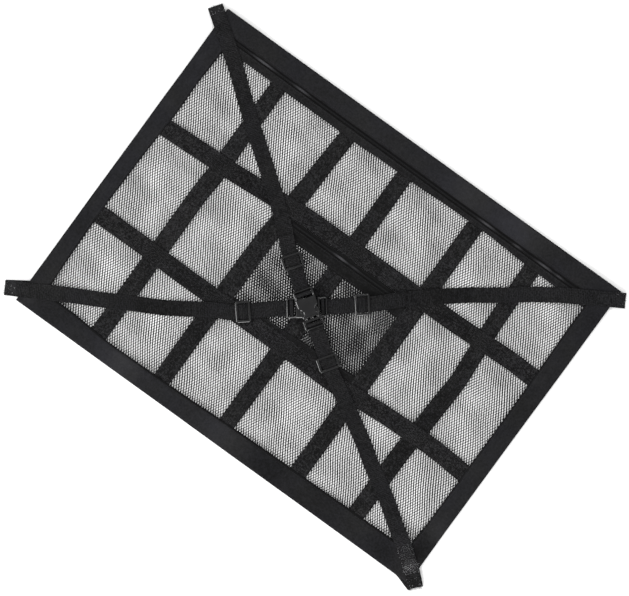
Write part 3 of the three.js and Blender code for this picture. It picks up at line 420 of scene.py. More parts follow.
def cloth_tone(look, color, tint, detail, depth, grain):
    """The cloth's colour: a tint that drifts over the piece, and a tone from fine detail, mottling and
    the wear and painted light and shade on the piece. depth is how far the tone swings, and grain the
    mottling's patches to a metre."""
    place = look.place()
    drift = look.spread(look.noise(place, 14.0, 2.0), 0.38, 0.62, 0, 1)
    mottle = look.spread(look.noise(place, grain, 2.0, 0.75), 0.3, 0.7, -1, 1)
    patches = look.spread(look.noise(place, 45.0, 3.0), 0.3, 0.7, -1, 1)
    wear_and_painted_light = look.node("ShaderNodeAttribute", attribute_name="wear_and_painted_light").outputs["Fac"]
    tone = look.math("MULTIPLY_ADD", mottle, 1.3 * depth)
    look.feed(tone.node.inputs[2], detail)
    broad = look.math("MULTIPLY_ADD", patches, 0.2 * depth)
    look.feed(broad.node.inputs[2], tone)
    total = look.math("ADD", broad, wear_and_painted_light)
    hue = look.mix(drift, color, tint)
    dark = look.node("ShaderNodeVectorMath", operation="SCALE")
    look.feed(dark.inputs[0], hue)
    look.feed(dark.inputs["Scale"], look.spread(total, -1, 5, 0.15, 4.6))
    look.feed(look.shader.inputs["Base Color"], dark.outputs[0])


def webbing_look(name, color, tint, pitch, depth):
    """Ribbed webbing: crosswise ribs broken into short picks by the lengthwise threads."""
    look = Look(name, color, 0.85, specular=0.12)
    along, across = look.cloth()
    ribs = wave(look, along, pitch)
    threads = wave(look, across, 0.0032)
    picks = look.math("MULTIPLY", ribs, look.spread(threads, -1, 1, 0.6, 1))
    cloth_tone(look, color, tint, look.math("MULTIPLY", picks, 0.5), depth, 420.0)
    look.bump(picks, 0.0003, 0.8)
    return look.material


def woven_look(name, color, tint, depth, pitch=0.0012):
    """Plain woven cloth with a fine even weave."""
    look = Look(name, color, 0.82, specular=0.14)
    along, across = look.cloth()
    weave = look.math("MULTIPLY", wave(look, along, pitch), wave(look, across, pitch))
    cloth_tone(look, color, tint, look.math("MULTIPLY", weave, 0.2), depth, 300.0)
    look.bump(weave, 0.00012, 0.6)
    return look.material


def mesh_look(name, color):
    look = Look(name, color, 0.75, specular=0.15)
    fine = look.noise(look.place(), 900.0, 2.0)
    look.feed(
        look.shader.inputs["Base Color"],
        look.mix(
            look.spread(fine, 0.3, 0.7, 0, 1),
            tuple(0.75 * part for part in color),
            tuple(1.3 * part for part in color),
        ),
    )
    return look.material


def plastic_look(name, color, roughness, specular=0.5):
    """Moulded plastic: satin, with a fine grain."""
    look = Look(name, color, roughness[0], specular=specular)
    grain = look.noise(look.place(), 1500.0, 2.0)
    smears = look.noise(look.place(), 90.0, 3.0)
    look.feed(look.shader.inputs["Roughness"], look.spread(smears, 0.3, 0.7, *roughness))
    look.bump(grain, 0.00002, 0.4)
    return look.material


def coil_look():
    """The zip's coil: dull, with painted glints in the stretches where it catches the light."""
    color = (0.0065, 0.0065, 0.0070)
    look = Look("zip_coil", color, 0.45, specular=0.16)
    wear_and_painted_light = look.node("ShaderNodeAttribute", attribute_name="wear_and_painted_light").outputs["Fac"]
    look.feed(look.shader.inputs["Base Color"], look.mix(wear_and_painted_light, color, (0.06, 0.06, 0.064)))
    return look.material


webbing = webbing_look("webbing", (0.0088, 0.0088, 0.0094), (0.0090, 0.0089, 0.0091), 0.0024, 2.2)
strap_cloth = webbing_look(
    "strap_webbing", (0.0080, 0.0080, 0.0088), (0.0084, 0.0083, 0.0086), 0.0029, 1.25,
)
binding_cloth = woven_look("binding_cloth", (0.0098, 0.0098, 0.0117), (0.0103, 0.0102, 0.0108), 0.42)
facing_cloth = woven_look("facing_cloth", (0.0085, 0.0085, 0.0094), (0.0088, 0.0087, 0.0090), 0.6)
# The zip tape is darker than the other cloth: black tape, with painted shade for the grooves beside the
# coils
zip_tape = woven_look("zip_tape", (0.0024, 0.0024, 0.0026), (0.0026, 0.0025, 0.0026), 0.6, 0.001)
net_yarn = mesh_look("net_yarn", (0.0105, 0.0105, 0.0112))
plastic = plastic_look("buckle_plastic", (0.0035, 0.0035, 0.0039), (0.16, 0.21), 0.6)
coil_gloss = coil_look()
thread = mesh_look("thread", (0.02, 0.02, 0.0215))
lint = mesh_look("lint", (0.4, 0.4, 0.41))


# Net: two families of slanting strands make diamond holes

NET_ANGLES = (math.radians(61.4), math.radians(121.9))
NET_SPACING = 3.98
NET_STRANDS = (0.62, 1.44)
NET_LIMITS = {"left": -376, "right": 371, "low": -269, "high": 266.5}
NET_SPLITS = [-257, -125, 1, 142, 264]
NET_REACH = 560
HOLE_CORNER_CUT = 0.2
POCKET_TURN = math.radians(0.25)
POCKET_SHIFT = 0.25
POCKET_DRIFT = 0.4
NET_NAMES = [f"net_strip_{number}" for number in range(1, 7)]
YARN_HALF = 0.32


def diamond_lattice(angles, spacing):
    """Knots of a lattice of strands in two directions, as an array of rows and columns."""
    ways = [np.array([math.cos(angle), math.sin(angle)]) for angle in angles]
    step = spacing / math.sin(angles[1] - angles[0])
    count = int(NET_REACH / step)
    order = np.arange(-count, count + 1)
    return step * (order[:, None, None] * ways[0] + order[None, :, None] * ways[1])


def net_piece(name, lattice, inside, strands, warp, height):
    """Strands round each hole with a lens-shaped section, closed along the border."""
    rows, columns = lattice.shape[:2]
    number = np.arange(rows * columns).reshape(rows, columns)
    owner = np.stack([
        number[:-1, :-1], number[1:, :-1], number[1:, 1:], number[:-1, 1:],
    ], -1).reshape(-1, 4)
    flat = lattice.reshape(-1, 2)
    middle = flat[owner].mean(1)
    owner = owner[inside(middle[:, 0], middle[:, 1])]
    used, owner = np.unique(owner, return_inverse=True)
    owner = owner.reshape(-1, 4)
    knots = flat[used]
    corners = knots[owner]
    middle = corners.mean(1)
    first, second = strands(middle[:, 0], middle[:, 1])
    shrink = np.column_stack([1 - second / NET_SPACING, 1 - first / NET_SPACING])
    side_a = (corners[:, 1] - corners[:, 0]) / 2
    side_b = (corners[:, 3] - corners[:, 0]) / 2
    cut = 1 - 2 * HOLE_CORNER_CUT
    signs = [(-1, -cut), (-cut, -1), (cut, -1), (1, -cut), (1, cut), (cut, 1), (-cut, 1), (-1, cut)]
    holes = np.stack([
        middle
        + a * shrink[:, :1] * side_a
        + b * shrink[:, 1:] * side_b
        for a, b in signs
    ], 1)
    count = len(owner)
    knots = knots + warp(knots)
    holes = holes.reshape(-1, 2)
    holes = holes + warp(holes)
    knot_z = height(knots[:, 0], knots[:, 1])
    hole_z = height(holes[:, 0], holes[:, 1])
    points = np.concatenate([
        np.column_stack([knots, knot_z + YARN_HALF]),
        np.column_stack([knots, knot_z - YARN_HALF]),
        np.column_stack([holes, hole_z]),
    ])
    total = len(knots)
    hole = 2 * total + np.arange(8 * count).reshape(count, 8)
    sides, nooks = [], []
    for corner in range(4):
        ahead = (corner + 1) % 4
        here = hole[:, (2 * corner + 1) % 8]
        there = hole[:, (2 * corner + 2) % 8]
        sides.append(np.column_stack([owner[:, corner], owner[:, ahead], there, here]))
        nooks.append(np.column_stack([owner[:, corner], here, hole[:, 2 * corner]]))
    sides, nooks = np.concatenate(sides), np.concatenate(nooks)
    drop = np.array([total, total, 0, 0])
    under = (sides + drop)[:, ::-1]
    under_nooks = (nooks + np.array([total, 0, 0]))[:, ::-1]
    pairs = sides[:, :2]
    _, where, uses = np.unique(np.sort(pairs, axis=1), axis=0, return_index=True, return_counts=True)
    rim = pairs[where[uses == 1]]
    wall = np.stack([rim[:, 1], rim[:, 0], rim[:, 0] + total, rim[:, 1] + total], -1)
    return make_object(name, points, [sides, under, wall, nooks, under_nooks])


warp_x = Ripples(3, 190, 60)
warp_y = Ripples(4, 190, 60)
density = Ripples(5, 120, 35)
slant = Ripples(8, 150, 50)
lumps = Ripples(6, 90, 25)


def net_warp(points):
    x, y = points[:, 0], points[:, 1]
    return np.column_stack([0.7 * warp_x(x, y), 0.7 * warp_y(x, y)])


def net_height(x, y):
    return NET_FLOOR + corner_lift(x, y) - net_sag(x, y) + CLOTH / 2 + 0.06 * lumps(x, y)


def net_strands(x, y):
    even, lean = 0.06 * density(x, y), 0.30 * slant(x, y)
    return NET_STRANDS[0] * (1 + even + lean), NET_STRANDS[1] * (1 + even - 0.7 * lean)


def make_net():
    """The net is one cloth. It is made in six strips, which meet under the short tapes."""
    lattice = diamond_lattice(NET_ANGLES, NET_SPACING)
    splits = [NET_LIMITS["left"], *NET_SPLITS, NET_LIMITS["right"]]
    for name, low, high in zip(NET_NAMES, splits[:-1], splits[1:]):

        def inside(x, y, low=low, high=high):
            return (x >= low) & (x < high) & (y > NET_LIMITS["low"]) & (y < NET_LIMITS["high"])

        piece = net_piece(name, lattice, inside, net_strands, net_warp, net_height)
        keep(piece, net_yarn, ["net_panel"])


def make_pocket():
    """The second layer behind the middle cells, a little out of step with the net."""
    lattice = diamond_lattice([angle + POCKET_TURN for angle in NET_ANGLES], NET_SPACING)
    shift = POCKET_SHIFT * (lattice[1, 1] - lattice[0, 0])

    def inside(x, y):
        across = (x > tape_x(1, y) - 2) & (x < tape_x(3, y) + 2)
        return across & (y > POCKET["low"]) & (y < POCKET["high"])

    def warp(points):
        x, y = points[:, 0], points[:, 1]
        drift = POCKET_DRIFT * np.column_stack([density(x, y), slant(x, y)])
        return net_warp(points) + drift

    piece = net_piece(
        "pocket_net", lattice + shift, inside, net_strands, warp,
        lambda x, y: np.full_like(x, CLOTH / 2),
    )
    keep(piece, net_yarn, ["pocket_panel"])


# Lighter or darker spots of each piece, partly wear and partly painted light and shade, such as shadows
# beside the straps and glints on the zip coils; darker where the strength is below 0. Columns: x, y,
# radius, strength
WEAR_AND_PAINTED_LIGHT = {
    "binding_top": [
        (100, 282, 45, 0.95), (200, 282, 45, 1.2), (-100, 282, 40, 0.25), (0, 282, 40, 0.15),
    ],
    "binding_bottom": [
        (-200, -279, 35, 1.25), (0, -279, 35, 0.75), (100, -279, 40, -0.7), (200, -279, 45, -0.5),
        (300, -279, 40, -0.1), (333, -278, 22, -0.6), (-340, -279, 30, -0.4), (-385, -286, 9, 0.6),
    ],
    "binding_right": [
        (382, -230, 26, -0.7), (382, 40, 40, -0.25), (388, -200, 20, 0.9), (378, -252, 12, -1.0),
        (384, 232, 18, -0.35),
    ],
    "binding_left": [
        (-384, 40, 40, 0.2), (-388, 203, 12, 0.5), (-388, 113, 13, 0.5), (-384, -130, 22, -0.35),
        (-380, 165, 14, 0.3), (-392, -60, 12, 0.3),
    ],
    "top_zip_facing": [(-200, 247, 60, -0.2), (40, 248, 80, -0.25), (240, 247, 60, -0.2)],
    "middle_zip_facing": [(-90, 55, 55, -0.95), (0, 54, 55, -0.7), (90, 53, 55, -0.95)],
    "pocket_hem": [(-80, -82, 55, -0.9), (20, -80, 55, -0.7), (110, -78, 50, -0.9)],
    "short_tape_1": [(-257, -30, 60, 0.4), (-256, 130, 60, 0.4)],
    "short_tape_2": [(-128, -160, 60, -0.65), (-122, 60, 40, -0.25)],
    "short_tape_3": [(1, -160, 60, -0.35), (1, 0, 50, -0.25)],
    "short_tape_4": [(144, -160, 60, -0.5), (142, 180, 50, 0.2)],
    "short_tape_5": [(262, -130, 60, -0.65), (262, -30, 60, -0.5)],
    "long_tape_1": [(-190, 86, 60, -0.65), (0, 94, 60, -0.15), (200, 96, 60, -0.35)],
    "long_tape_2": [(-190, -103, 60, -0.4), (60, -102, 60, -0.4)],
    "strap_top_left": [(-416, 286, 13, 1.1), (-400, 274, 8, 0.5), (-372, 254, 12, 0.3)],
    "strap_top_right": [
        (406, 285, 13, 0.7), (385, 272, 10, 0.3), (300, 220, 50, 0.3), (160, 115, 55, -0.4),
    ],
    "strap_bottom_left": [
        (-419, -289, 13, 0.9), (-398, -276, 9, 0.5), (-320, -232, 40, 0.3), (-196, -166, 55, -0.6),
    ],
    "strap_bottom_right": [
        (385, -271, 11, 1.6), (366, -258, 14, 0.7), (405, -289, 11, -0.8), (340, -240, 22, 0.3),
    ],
    # Painted glints, where the zip coils catch the light
    "top_zip_coil": [
        (-298, 258.5, 17, 1.0), (-221, 258.5, 13, 0.8), (155.6, 258.5, 13, 0.9), (217.6, 258.5, 8, 0.6),
        (272.8, 258.5, 13, 0.9), (302.8, 258.5, 7, 0.6),
    ],
    "middle_zip_coil": [(-6, 72, 11, 1.0), (22, 72, 8, 0.3)],
}


# Flat strips of cloth and webbing

# Round the section, from the low edge over the top: part of the half width, part of the thickness
WEBBING_SECTION = [
    (-1, 0.1), (-0.992, 0.36), (-0.955, 0.5), (-0.88, 0.47), (-0.6, 0.43), (-0.2, 0.43),
    (0.2, 0.43), (0.6, 0.43), (0.88, 0.47), (0.955, 0.5), (0.992, 0.36), (1, 0.1),
    (1, -0.2), (0.97, -0.46), (0.5, -0.48), (-0.5, -0.48), (-0.97, -0.46), (-1, -0.2),
]
CLOTH_SECTION = [
    (-1, 0.0), (-0.994, 0.3), (-0.975, 0.47), (-0.93, 0.5), (-0.8, 0.46), (-0.4, 0.44),
    (0, 0.44), (0.4, 0.44), (0.8, 0.46), (0.93, 0.5), (0.975, 0.47), (0.994, 0.3), (1, 0.0),
    (0.98, -0.44), (0.5, -0.48), (-0.5, -0.48), (-0.98, -0.44),
]
FINE_CLOTH_SECTION = [
    *[(-1, 0.0), (-0.994, 0.3), (-0.975, 0.47), (-0.93, 0.5)],
    *[(round(-0.85 + 0.1 * step, 2), 0.45) for step in range(18)],
    *[(0.93, 0.5), (0.975, 0.47), (0.994, 0.3), (1, 0.0)],
    *[(round(0.9 - 0.1 * step, 2), -0.48) for step in range(19)],
]
EDGE_EASE = 4


def smooth_along(values, reach):
    """A running mean that keeps the two ends."""
    size = 2 * reach + 1
    padded = np.concatenate([
        2 * values[0] - values[reach:0:-1], values, 2 * values[-1] - values[-2:-reach - 2:-1],
    ])
    return np.convolve(padded, np.ones(size) / size, "valid")


def even_steps(low, high, spacing):
    return np.linspace(low, high, max(2, int(round((high - low) / spacing)) + 1))


def strip(name, axis, along, low, high, floor, section, thickness=0.94, lift=None):
    """A strip that runs along one axis between its low and high edges, on the given floor."""
    low, high = (
        smooth_along(np.broadcast_to(edge, along.shape), EDGE_EASE) for edge in (low, high)
    )
    part = np.array(section)
    across = (low + high)[:, None] / 2 + (high - low)[:, None] / 2 * part[None, :, 0]
    length = np.broadcast_to(along[:, None], across.shape)
    x, y = (length, across) if axis == "x" else (across, length)
    z = floor(x, y) + CLOTH / 2 + thickness * part[None, :, 1]
    if lift is not None:
        z = z + np.where(part[None, :, 1] > 0.2, lift(x, y), 0)
    points = np.stack([x, y, z], -1)
    return sweep(name, points, along, reach_along(part * ((high - low).mean() / 2, 1)))


TAPE_STEP = 3
POCKET_STEP = 2.5
SHORT_TAPE_TOP = 249
EDGE_WANDER = 0.18
TAPE_CREASE = 0.07
FACING_CREASE = 0.1
edge_wobble = Ripples(11, 40, 9)
cloth_lumps = Ripples(12, 110, 28)
cloth_creases = Ripples(13, 60, 14)


def make_short_tapes():
    pieces = []
    for number in range(5):
        low = column(BOTTOM_EDGE, SHORT_TAPES[number][0][1], 2) - TAPE_TUCK
        y = even_steps(low, SHORT_TAPE_TOP, TAPE_STEP)
        centre, half = tape_x(number, y), tape_half(number, y)
        piece = strip(
            f"short_tape_{number + 1}_webbing", "y", y,
            centre - half + EDGE_WANDER * edge_wobble(centre, y),
            centre + half + EDGE_WANDER * edge_wobble(y, centre),
            lambda x, y: np.full_like(x, TAPE_FLOOR), WEBBING_SECTION,
            lift=lambda x, y: TAPE_CREASE * cloth_creases(x, y),
        )
        keep(piece, webbing, [f"short_tape_{number + 1}"])
        paint(piece, WEAR_AND_PAINTED_LIGHT[f"short_tape_{number + 1}"])
        pieces.append(piece)
    return pieces


def long_tape_edge(number, x, side):
    """The edge of a long tape on its low side, -1, or its high side, 1."""
    centre = long_y(number, x)
    return centre + side * (LONG_TAPE_WIDTH / 2 + EDGE_WANDER * edge_wobble(x, side * centre))


def make_long_tapes():
    pieces = []
    for number in range(2):
        y = long_y(number, 0)
        low = column(LEFT_EDGE, y, 2) - TAPE_TUCK
        high = column(RIGHT_EDGE, y, 2) + TAPE_TUCK
        x = even_steps(low, high, TAPE_STEP)
        piece = strip(
            f"long_tape_{number + 1}_webbing", "x", x, long_tape_edge(number, x, -1),
            long_tape_edge(number, x, 1),
            lambda x, y: TAPE_FLOOR + crossing_rise(range(5), x, y), WEBBING_SECTION,
            lift=lambda x, y: TAPE_CREASE * cloth_creases(x, y),
        )
        keep(piece, webbing, [f"long_tape_{number + 1}"])
        paint(piece, WEAR_AND_PAINTED_LIGHT[f"long_tape_{number + 1}"])
        pieces.append(piece)
    return pieces


# Zips, their facings and the pocket's hem

TOP_COIL_Y = 258.5
TOP_ZIP_LOW = 249.5
TOP_ZIP_HIGH = 269
TOP_FACING_HIGH = 254.2
TOP_ZIP_SPAN = (-364, 363)
MIDDLE_COIL_Y = 72
MIDDLE_ZIP_LOW = 62
MIDDLE_FACING_HIGH = 68
HEM_Y = -83
SEAM_GAP = 0.12
TOP_FACING_EDGE = [
    (-370, 240), (-89, 240), (-56, 242), (29, 242.5), (67, 244.5), (168, 246), (236, 242.5), (370, 240),
]
# Columns: x, the facing's low edge, the hem's high edge
POCKET_EDGES = [(-112, 49, -83), (-29, 48, -80), (29, 47.5, -76), (127, 46.5, -73)]


def pocket_span(y):
    return (
        float(tape_x(1, y) + tape_half(1, y) + SEAM_GAP),
        float(tape_x(3, y) - tape_half(3, y) - SEAM_GAP),
    )


def top_floor(level):
    """The floor of a strip along the top zip, which the corners lift."""
    return lambda x, y: level + corner_lift(x, np.full_like(x, TOP_COIL_Y))


def over_tape(place):
    """The floor of a strip at one y, which climbs over short tape 3."""
    return lambda x, y: TAPE_FLOOR + crossing_rise([2], x, np.full_like(x, place))


def middle_facing_floor(x, y):
    step = LAYER_RISE * soft_ramp(y, MIDDLE_ZIP_LOW - 3, MIDDLE_ZIP_LOW - 0.4)
    return over_tape(MIDDLE_ZIP_LOW)(x, y) + step


def facing_lift(x, y):
    return FACING_CREASE * cloth_creases(x, y)


def make_zip_cloth():
    top = even_steps(*TOP_ZIP_SPAN, TAPE_STEP)
    middle, facing, hem = (
        even_steps(*pocket_span(y), POCKET_STEP) for y in (MIDDLE_COIL_Y, MIDDLE_ZIP_LOW, HEM_Y)
    )
    # Piece, node, places along it, low edge, high edge, floor, section
    rows = [
        ("top_zip_tape", "top_zip", top, TOP_ZIP_LOW, TOP_ZIP_HIGH, top_floor(TAPE_FLOOR),
         CLOTH_SECTION),
        ("top_zip_facing_cloth", "top_zip_facing", top, column(TOP_FACING_EDGE, top, 1),
         TOP_FACING_HIGH, top_floor(COVER_FLOOR), CLOTH_SECTION),
        ("middle_zip_tape", "middle_zip", middle, MIDDLE_ZIP_LOW,
         long_tape_edge(0, middle, -1) - SEAM_GAP, over_tape(MIDDLE_COIL_Y), CLOTH_SECTION),
        ("middle_zip_facing_cloth", "middle_zip_facing", facing, column(POCKET_EDGES, facing, 1),
         MIDDLE_FACING_HIGH, middle_facing_floor, FINE_CLOTH_SECTION),
        ("pocket_hem_cloth", "pocket_hem", hem, long_tape_edge(1, hem, 1) + SEAM_GAP,
         column(POCKET_EDGES, hem, 2), over_tape(HEM_Y), CLOTH_SECTION),
    ]
    pieces = []
    for name, node, x, low, high, floor, section in rows:
        if node in WEAR_AND_PAINTED_LIGHT:
            piece = strip(name, "x", x, low, high, floor, section, lift=facing_lift)
            keep(piece, facing_cloth, [node])
            paint(piece, WEAR_AND_PAINTED_LIGHT[node])
        else:
            piece = strip(name, "x", x, low, high, floor, section)
            keep(piece, zip_tape, [node])
        pieces.append(piece)
    return pieces


COIL_STEP = 1.35
COIL_END = 4
COIL_SINK = 0.05


def coil_teeth(name, x_from, x_to, coil_y, floor_at):
    """Two rows of bent teeth that hook into each other over the middle of the zip."""
    along = np.arange(x_from + COIL_END, x_to - COIL_END, COIL_STEP / 2)
    side = np.where(np.arange(len(along)) % 2 == 0, 1.0, -1.0)
    base = floor_at(along)
    # The tooth's own line: distance from the middle, height over the tape, half width, half height
    line = np.array([
        (-2.2, 0.30, 0.32, 0.30), (-1.5, 0.72, 0.42, 0.36), (-0.2, 0.86, 0.46, 0.36),
        (0.55, 0.72, 0.50, 0.34),
    ])
    ring = np.array([(math.cos(a), math.sin(a)) for a in np.radians(72 * np.arange(5) + 18)])
    y = coil_y + side[:, None, None] * line[None, :, 0, None]
    x = along[:, None, None] + line[None, :, 2, None] * ring[None, None, :, 0]
    z = base[:, None, None] + line[None, :, 1, None] + line[None, :, 3, None] * ring[None, None, :, 1]
    points = np.stack(np.broadcast_arrays(x, y, z), -1)
    return fix_normals(tubes(name, points), 50)


def make_coils():
    top = coil_teeth(
        "top_zip_coil", *TOP_ZIP_SPAN, TOP_COIL_Y,
        lambda x: top_floor(TAPE_FLOOR + CLOTH)(x, x) - COIL_SINK,
    )
    middle = coil_teeth(
        "middle_zip_coil", *pocket_span(MIDDLE_COIL_Y), MIDDLE_COIL_Y,
        lambda x: over_tape(MIDDLE_COIL_Y)(x, x) + CLOTH - COIL_SINK,
    )
    for piece in (top, middle):
        keep(piece, coil_gloss)
        # Paints glints on the coils
        paint(piece, WEAR_AND_PAINTED_LIGHT[piece.name])


# Binding

BINDING_TOP = COVER_FLOOR + CLOTH
CORNER_FAN = 60
MITRE_GAP = 0.06
BINDING_STEP = 4.6
BINDINGS = {
    "binding_left": (LEFT_EDGE, "y", 1), "binding_right": (RIGHT_EDGE, "y", -1),
    "binding_top": (TOP_EDGE, "x", -1), "binding_bottom": (BOTTOM_EDGE, "x", 1),
}
# How far in from a piece's edge its seam runs
BINDING_SEAM = 4
TAPE_SEAM = 3
FACING_SEAM = 2.5


def binding_section(width):
    """Distance in from the fold and height, round the folded strip, from the lower inner edge."""
    top, middle = BINDING_TOP, BINDING_TOP / 2
    fold = [(3.2, 0.0), (1.7, 0.1), (0.75, 0.5), (0.2, 1.2), (0.0, middle)]
    lower = [(width - 0.1, 0.35), (width - 0.5, 0.06), (width - 1.2, 0.0)]
    lower += [(3.2 + (width - 4.4) * part, 0.0) for part in (0.75, 0.5, 0.25)]
    upper_parts = np.linspace(0, 1, 13)[1:]
    outside = lower + fold + [(across, top - height) for across, height in fold[-2::-1]]
    outside += [(3.2 + (width - 4.4) * part, top) for part in upper_parts]
    outside += [(width - 0.5, top - 0.05), (width - 0.1, top - 0.3)]
    inner = [(width - 0.1, top - 0.75), (width - 0.6, top - CLOTH), (width / 2, top - CLOTH)]
    inner += [(3.4, top - CLOTH), (2.0, top - 1.5), (1.3, middle), (2.0, 1.5), (3.4, CLOTH)]
    inner += [(width / 2, CLOTH), (width - 0.6, CLOTH), (width - 0.1, 0.75)]
    return np.array(outside + inner)


# Soft creases and swells of the binding: x, y, direction in degrees, length, width, height
BINDING_FOLDS = [
    (-382, 128, 8, 26, 7, -0.35), (-383, 138, 12, 24, 8, 0.35), (-384, -128, -14, 26, 7, -0.3),
    (-383, -118, -10, 22, 7, 0.3), (382, -62, 20, 28, 6, -0.45), (383, -52, 16, 26, 8, 0.35),
    (380, -210, 60, 60, 16, 0.5), (384, -166, 70, 50, 14, -0.3), (-300, -280, 4, 70, 12, 0.45),
    (-250, -281, -3, 50, 12, 0.4), (-345, -276, 20, 40, 10, -0.35), (-180, -279, 6, 46, 10, -0.25),
    (240, -272, 8, 60, 12, -0.3), (300, -270, -6, 56, 12, 0.3), (-60, 280, 3, 60, 10, 0.25),
    (120, 282, -3, 70, 10, 0.25), (320, 280, 8, 50, 10, -0.3), (-383, 210, 80, 50, 12, 0.3),
]


def fold_height(x, y, rows):
    total = np.zeros_like(x)
    for fold_x, fold_y, degrees, length, width, height in rows:
        angle = math.radians(degrees)
        along = (x - fold_x) * math.cos(angle) + (y - fold_y) * math.sin(angle)
        across = -(x - fold_x) * math.sin(angle) + (y - fold_y) * math.cos(angle)
        total = total + height * np.exp(-(2 * along / length) ** 2 - (2 * across / width) ** 2)
    return total


def binding(name, edge, axis, inward, end_widths):
    start, end = edge[0][0], edge[-1][0]
    along = even_steps(start, end, BINDING_STEP)
    outer, inner = smooth_along(column(edge, along, 1), 3), smooth_along(column(edge, along, 2), 3)
    width = np.abs(inner - outer)
    section = np.array([binding_section(part) for part in width])
    across = section[:, :, 0]
    slants = []
    for end_width, here, away in (
        (end_widths[0], width[0], along - start), (end_widths[1], width[-1], end - along),
    ):
        near_end = ramp(CORNER_FAN - away, 0, CORNER_FAN)[:, None]
        slants.append((across * end_width / here + MITRE_GAP) * near_end)
    place = along[:, None] + slants[0] - slants[1]
    out = outer[:, None] + inward * across
    x, y = (place, out) if axis == "x" else (out, place)
    seam = np.exp(-(((across - (width[:, None] - BINDING_SEAM)) / 0.8) ** 2))
    on_top = ramp(section[:, :, 1], BINDING_TOP / 2, BINDING_TOP - CLOTH)
    swell = 0.16 * cloth_lumps(x, y) + 0.06 * cloth_creases(x, y) + fold_height(x, y, BINDING_FOLDS)
    swell = np.maximum(swell, -0.28) * ramp(across, 1, 6)
    z = section[:, :, 1] + corner_lift(x, y) + on_top * (swell - 0.2 * seam)
    return sweep(name, np.stack([x, y, z], -1), along, reach_along(section.mean(0)))


# Painted shade along each binding's inner edge, where it meets the net: how dark, and how far in that
# reaches
INNER_EDGE_SHADE = {
    "binding_left": (-0.8, 1.6), "binding_right": (-0.9, 1.8), "binding_top": (-0.5, 1.6),
    "binding_bottom": (-2.2, 3.0),
}


def inner_edge_shade(piece, edge, axis, strength, reach):
    """Paints shade on a binding along its inner edge, where it dips to the net."""
    x, y = (np.array([vertex.co[side] for vertex in piece.data.vertices]) / MM for side in (0, 1))
    along, out = (x, y) if axis == "x" else (y, x)
    return strength * np.exp(-((out - column(edge, along, 2)) / reach) ** 2)


def edge_width(row):
    return abs(row[2] - row[1])


def make_bindings():
    pieces = []
    for name, (edge, axis, inward) in BINDINGS.items():
        crossing = (BOTTOM_EDGE, TOP_EDGE) if axis == "y" else (LEFT_EDGE, RIGHT_EDGE)
        end = 0 if inward > 0 else -1
        widths = [edge_width(other[end]) for other in crossing]
        piece = binding(f"{name}_cloth", edge, axis, inward, widths)
        keep(piece, binding_cloth, [name])
        paint(piece, WEAR_AND_PAINTED_LIGHT[name], inner_edge_shade(piece, edge, axis, *INNER_EDGE_SHADE[name]))
        pieces.append(piece)
    return pieces


# Corner straps

LOWER_BUCKLE = {"place": (-4.4, -26.6), "angle": 37.7, "floor": TAPE_FLOOR + CLOTH + GAP}
UPPER_BUCKLE = {
    "place": (-0.5, -26.3), "angle": -34.5,
    "floor": TAPE_FLOOR + CLOTH + GAP + BUCKLE_HEIGHT + GAP,
}
SOCKET_LADDER = {"outer_bar": 2.4, "outer_slot": 4.0, "inner_bar": 4.0, "inner_slot": 5.0}
PRONG_LADDER = {"outer_bar": 2.0, "outer_slot": 3.6, "inner_bar": 3.2, "inner_slot": 3.8}
BAR_HIGH = 4.4
GLIDE_LENGTH = 25
GLIDE_WIDTH = 36
GLIDE_BAR = 3.5
GLIDE_CENTRE_BAR = 4
GLIDE_CENTRE_HIGH = 2.2
# How far a strap runs straight before and after its tri-glide, and before its buckle
GLIDE_LEAD = 22
GLIDE_TRAIL = 20
BUCKLE_LEAD = 9

# Each strap: buckle, which half it ends in, tri-glide, free tail, turn of the ply under the corner
# in degrees, and the points of its centre line
STRAPS = {
    "top_left": {
        "buckle": UPPER_BUCKLE, "socket": True, "glide": (-68, 21), "tail": 45, "turn": 2,
        "points": [(-419, 287.5), (-372, 254), (-325, 220.5), (-287, 190), (-255, 165.5),
                   (-196, 123), (-160, 96.5), (-111, 58.5)],
    },
    "top_right": {
        "buckle": LOWER_BUCKLE, "socket": False, "glide": (67, 31), "tail": 73, "turn": -2,
        "points": [(415, 291), (366, 262), (323, 236), (287, 211.5), (236, 172.5), (202, 148.5),
                   (160, 115), (110, 72)],
    },
    "bottom_left": {
        "buckle": LOWER_BUCKLE, "socket": True, "glide": (-85.4, -93.8), "tail": 84, "turn": 4,
        "points": [(-427.5, -292.5), (-372, -261), (-320, -232.5), (-287, -215.5), (-229, -183.5),
                   (-196, -166), (-160, -142.5), (-122, -117)],
    },
    "bottom_right": {
        "buckle": UPPER_BUCKLE, "socket": False, "glide": (78, -80), "tail": 76, "turn": 24,
        "points": [(412.5, -296), (390, -275.5), (357, -251), (323, -230), (287, -204.5),
                   (236, -175), (202, -152.5), (142, -117.5)],
    },
}


class Route:
    """A centre line in plan, by distance from its start, softened at the bends."""

    SOFTEN = 7

    def __init__(self, points):
        self.points = np.array(points, float)
        self.reach = reach_along(self.points)

    def sharp(self, at):
        upper = np.clip(np.searchsorted(self.reach, at), 1, len(self.points) - 1)
        start = self.reach[upper - 1]
        part = (at - start) / (self.reach[upper] - start)
        low, high = self.points[upper - 1], self.points[upper]
        return low + (high - low) * part[..., None]

    def soft(self, at):
        return (self.sharp(at - self.SOFTEN) + self.sharp(at + self.SOFTEN) + 2 * self.sharp(at)) / 4

    def place(self, at, across, turn=0.0):
        """Points at distances and offsets to the left, swung about the start by turn degrees."""
        at, across, turn = np.broadcast_arrays(
            np.asarray(at, float), np.asarray(across, float), np.radians(turn),
        )
        ahead = unit(self.soft(at + 1) - self.soft(at - 1))
        point = self.soft(at) + across[..., None] * left_of(ahead)
        start = self.soft(np.zeros(1))[0]
        away = point - start
        x = away[..., 0] * np.cos(turn) - away[..., 1] * np.sin(turn)
        y = away[..., 0] * np.sin(turn) + away[..., 1] * np.cos(turn)
        return start + np.stack([x, y], -1)


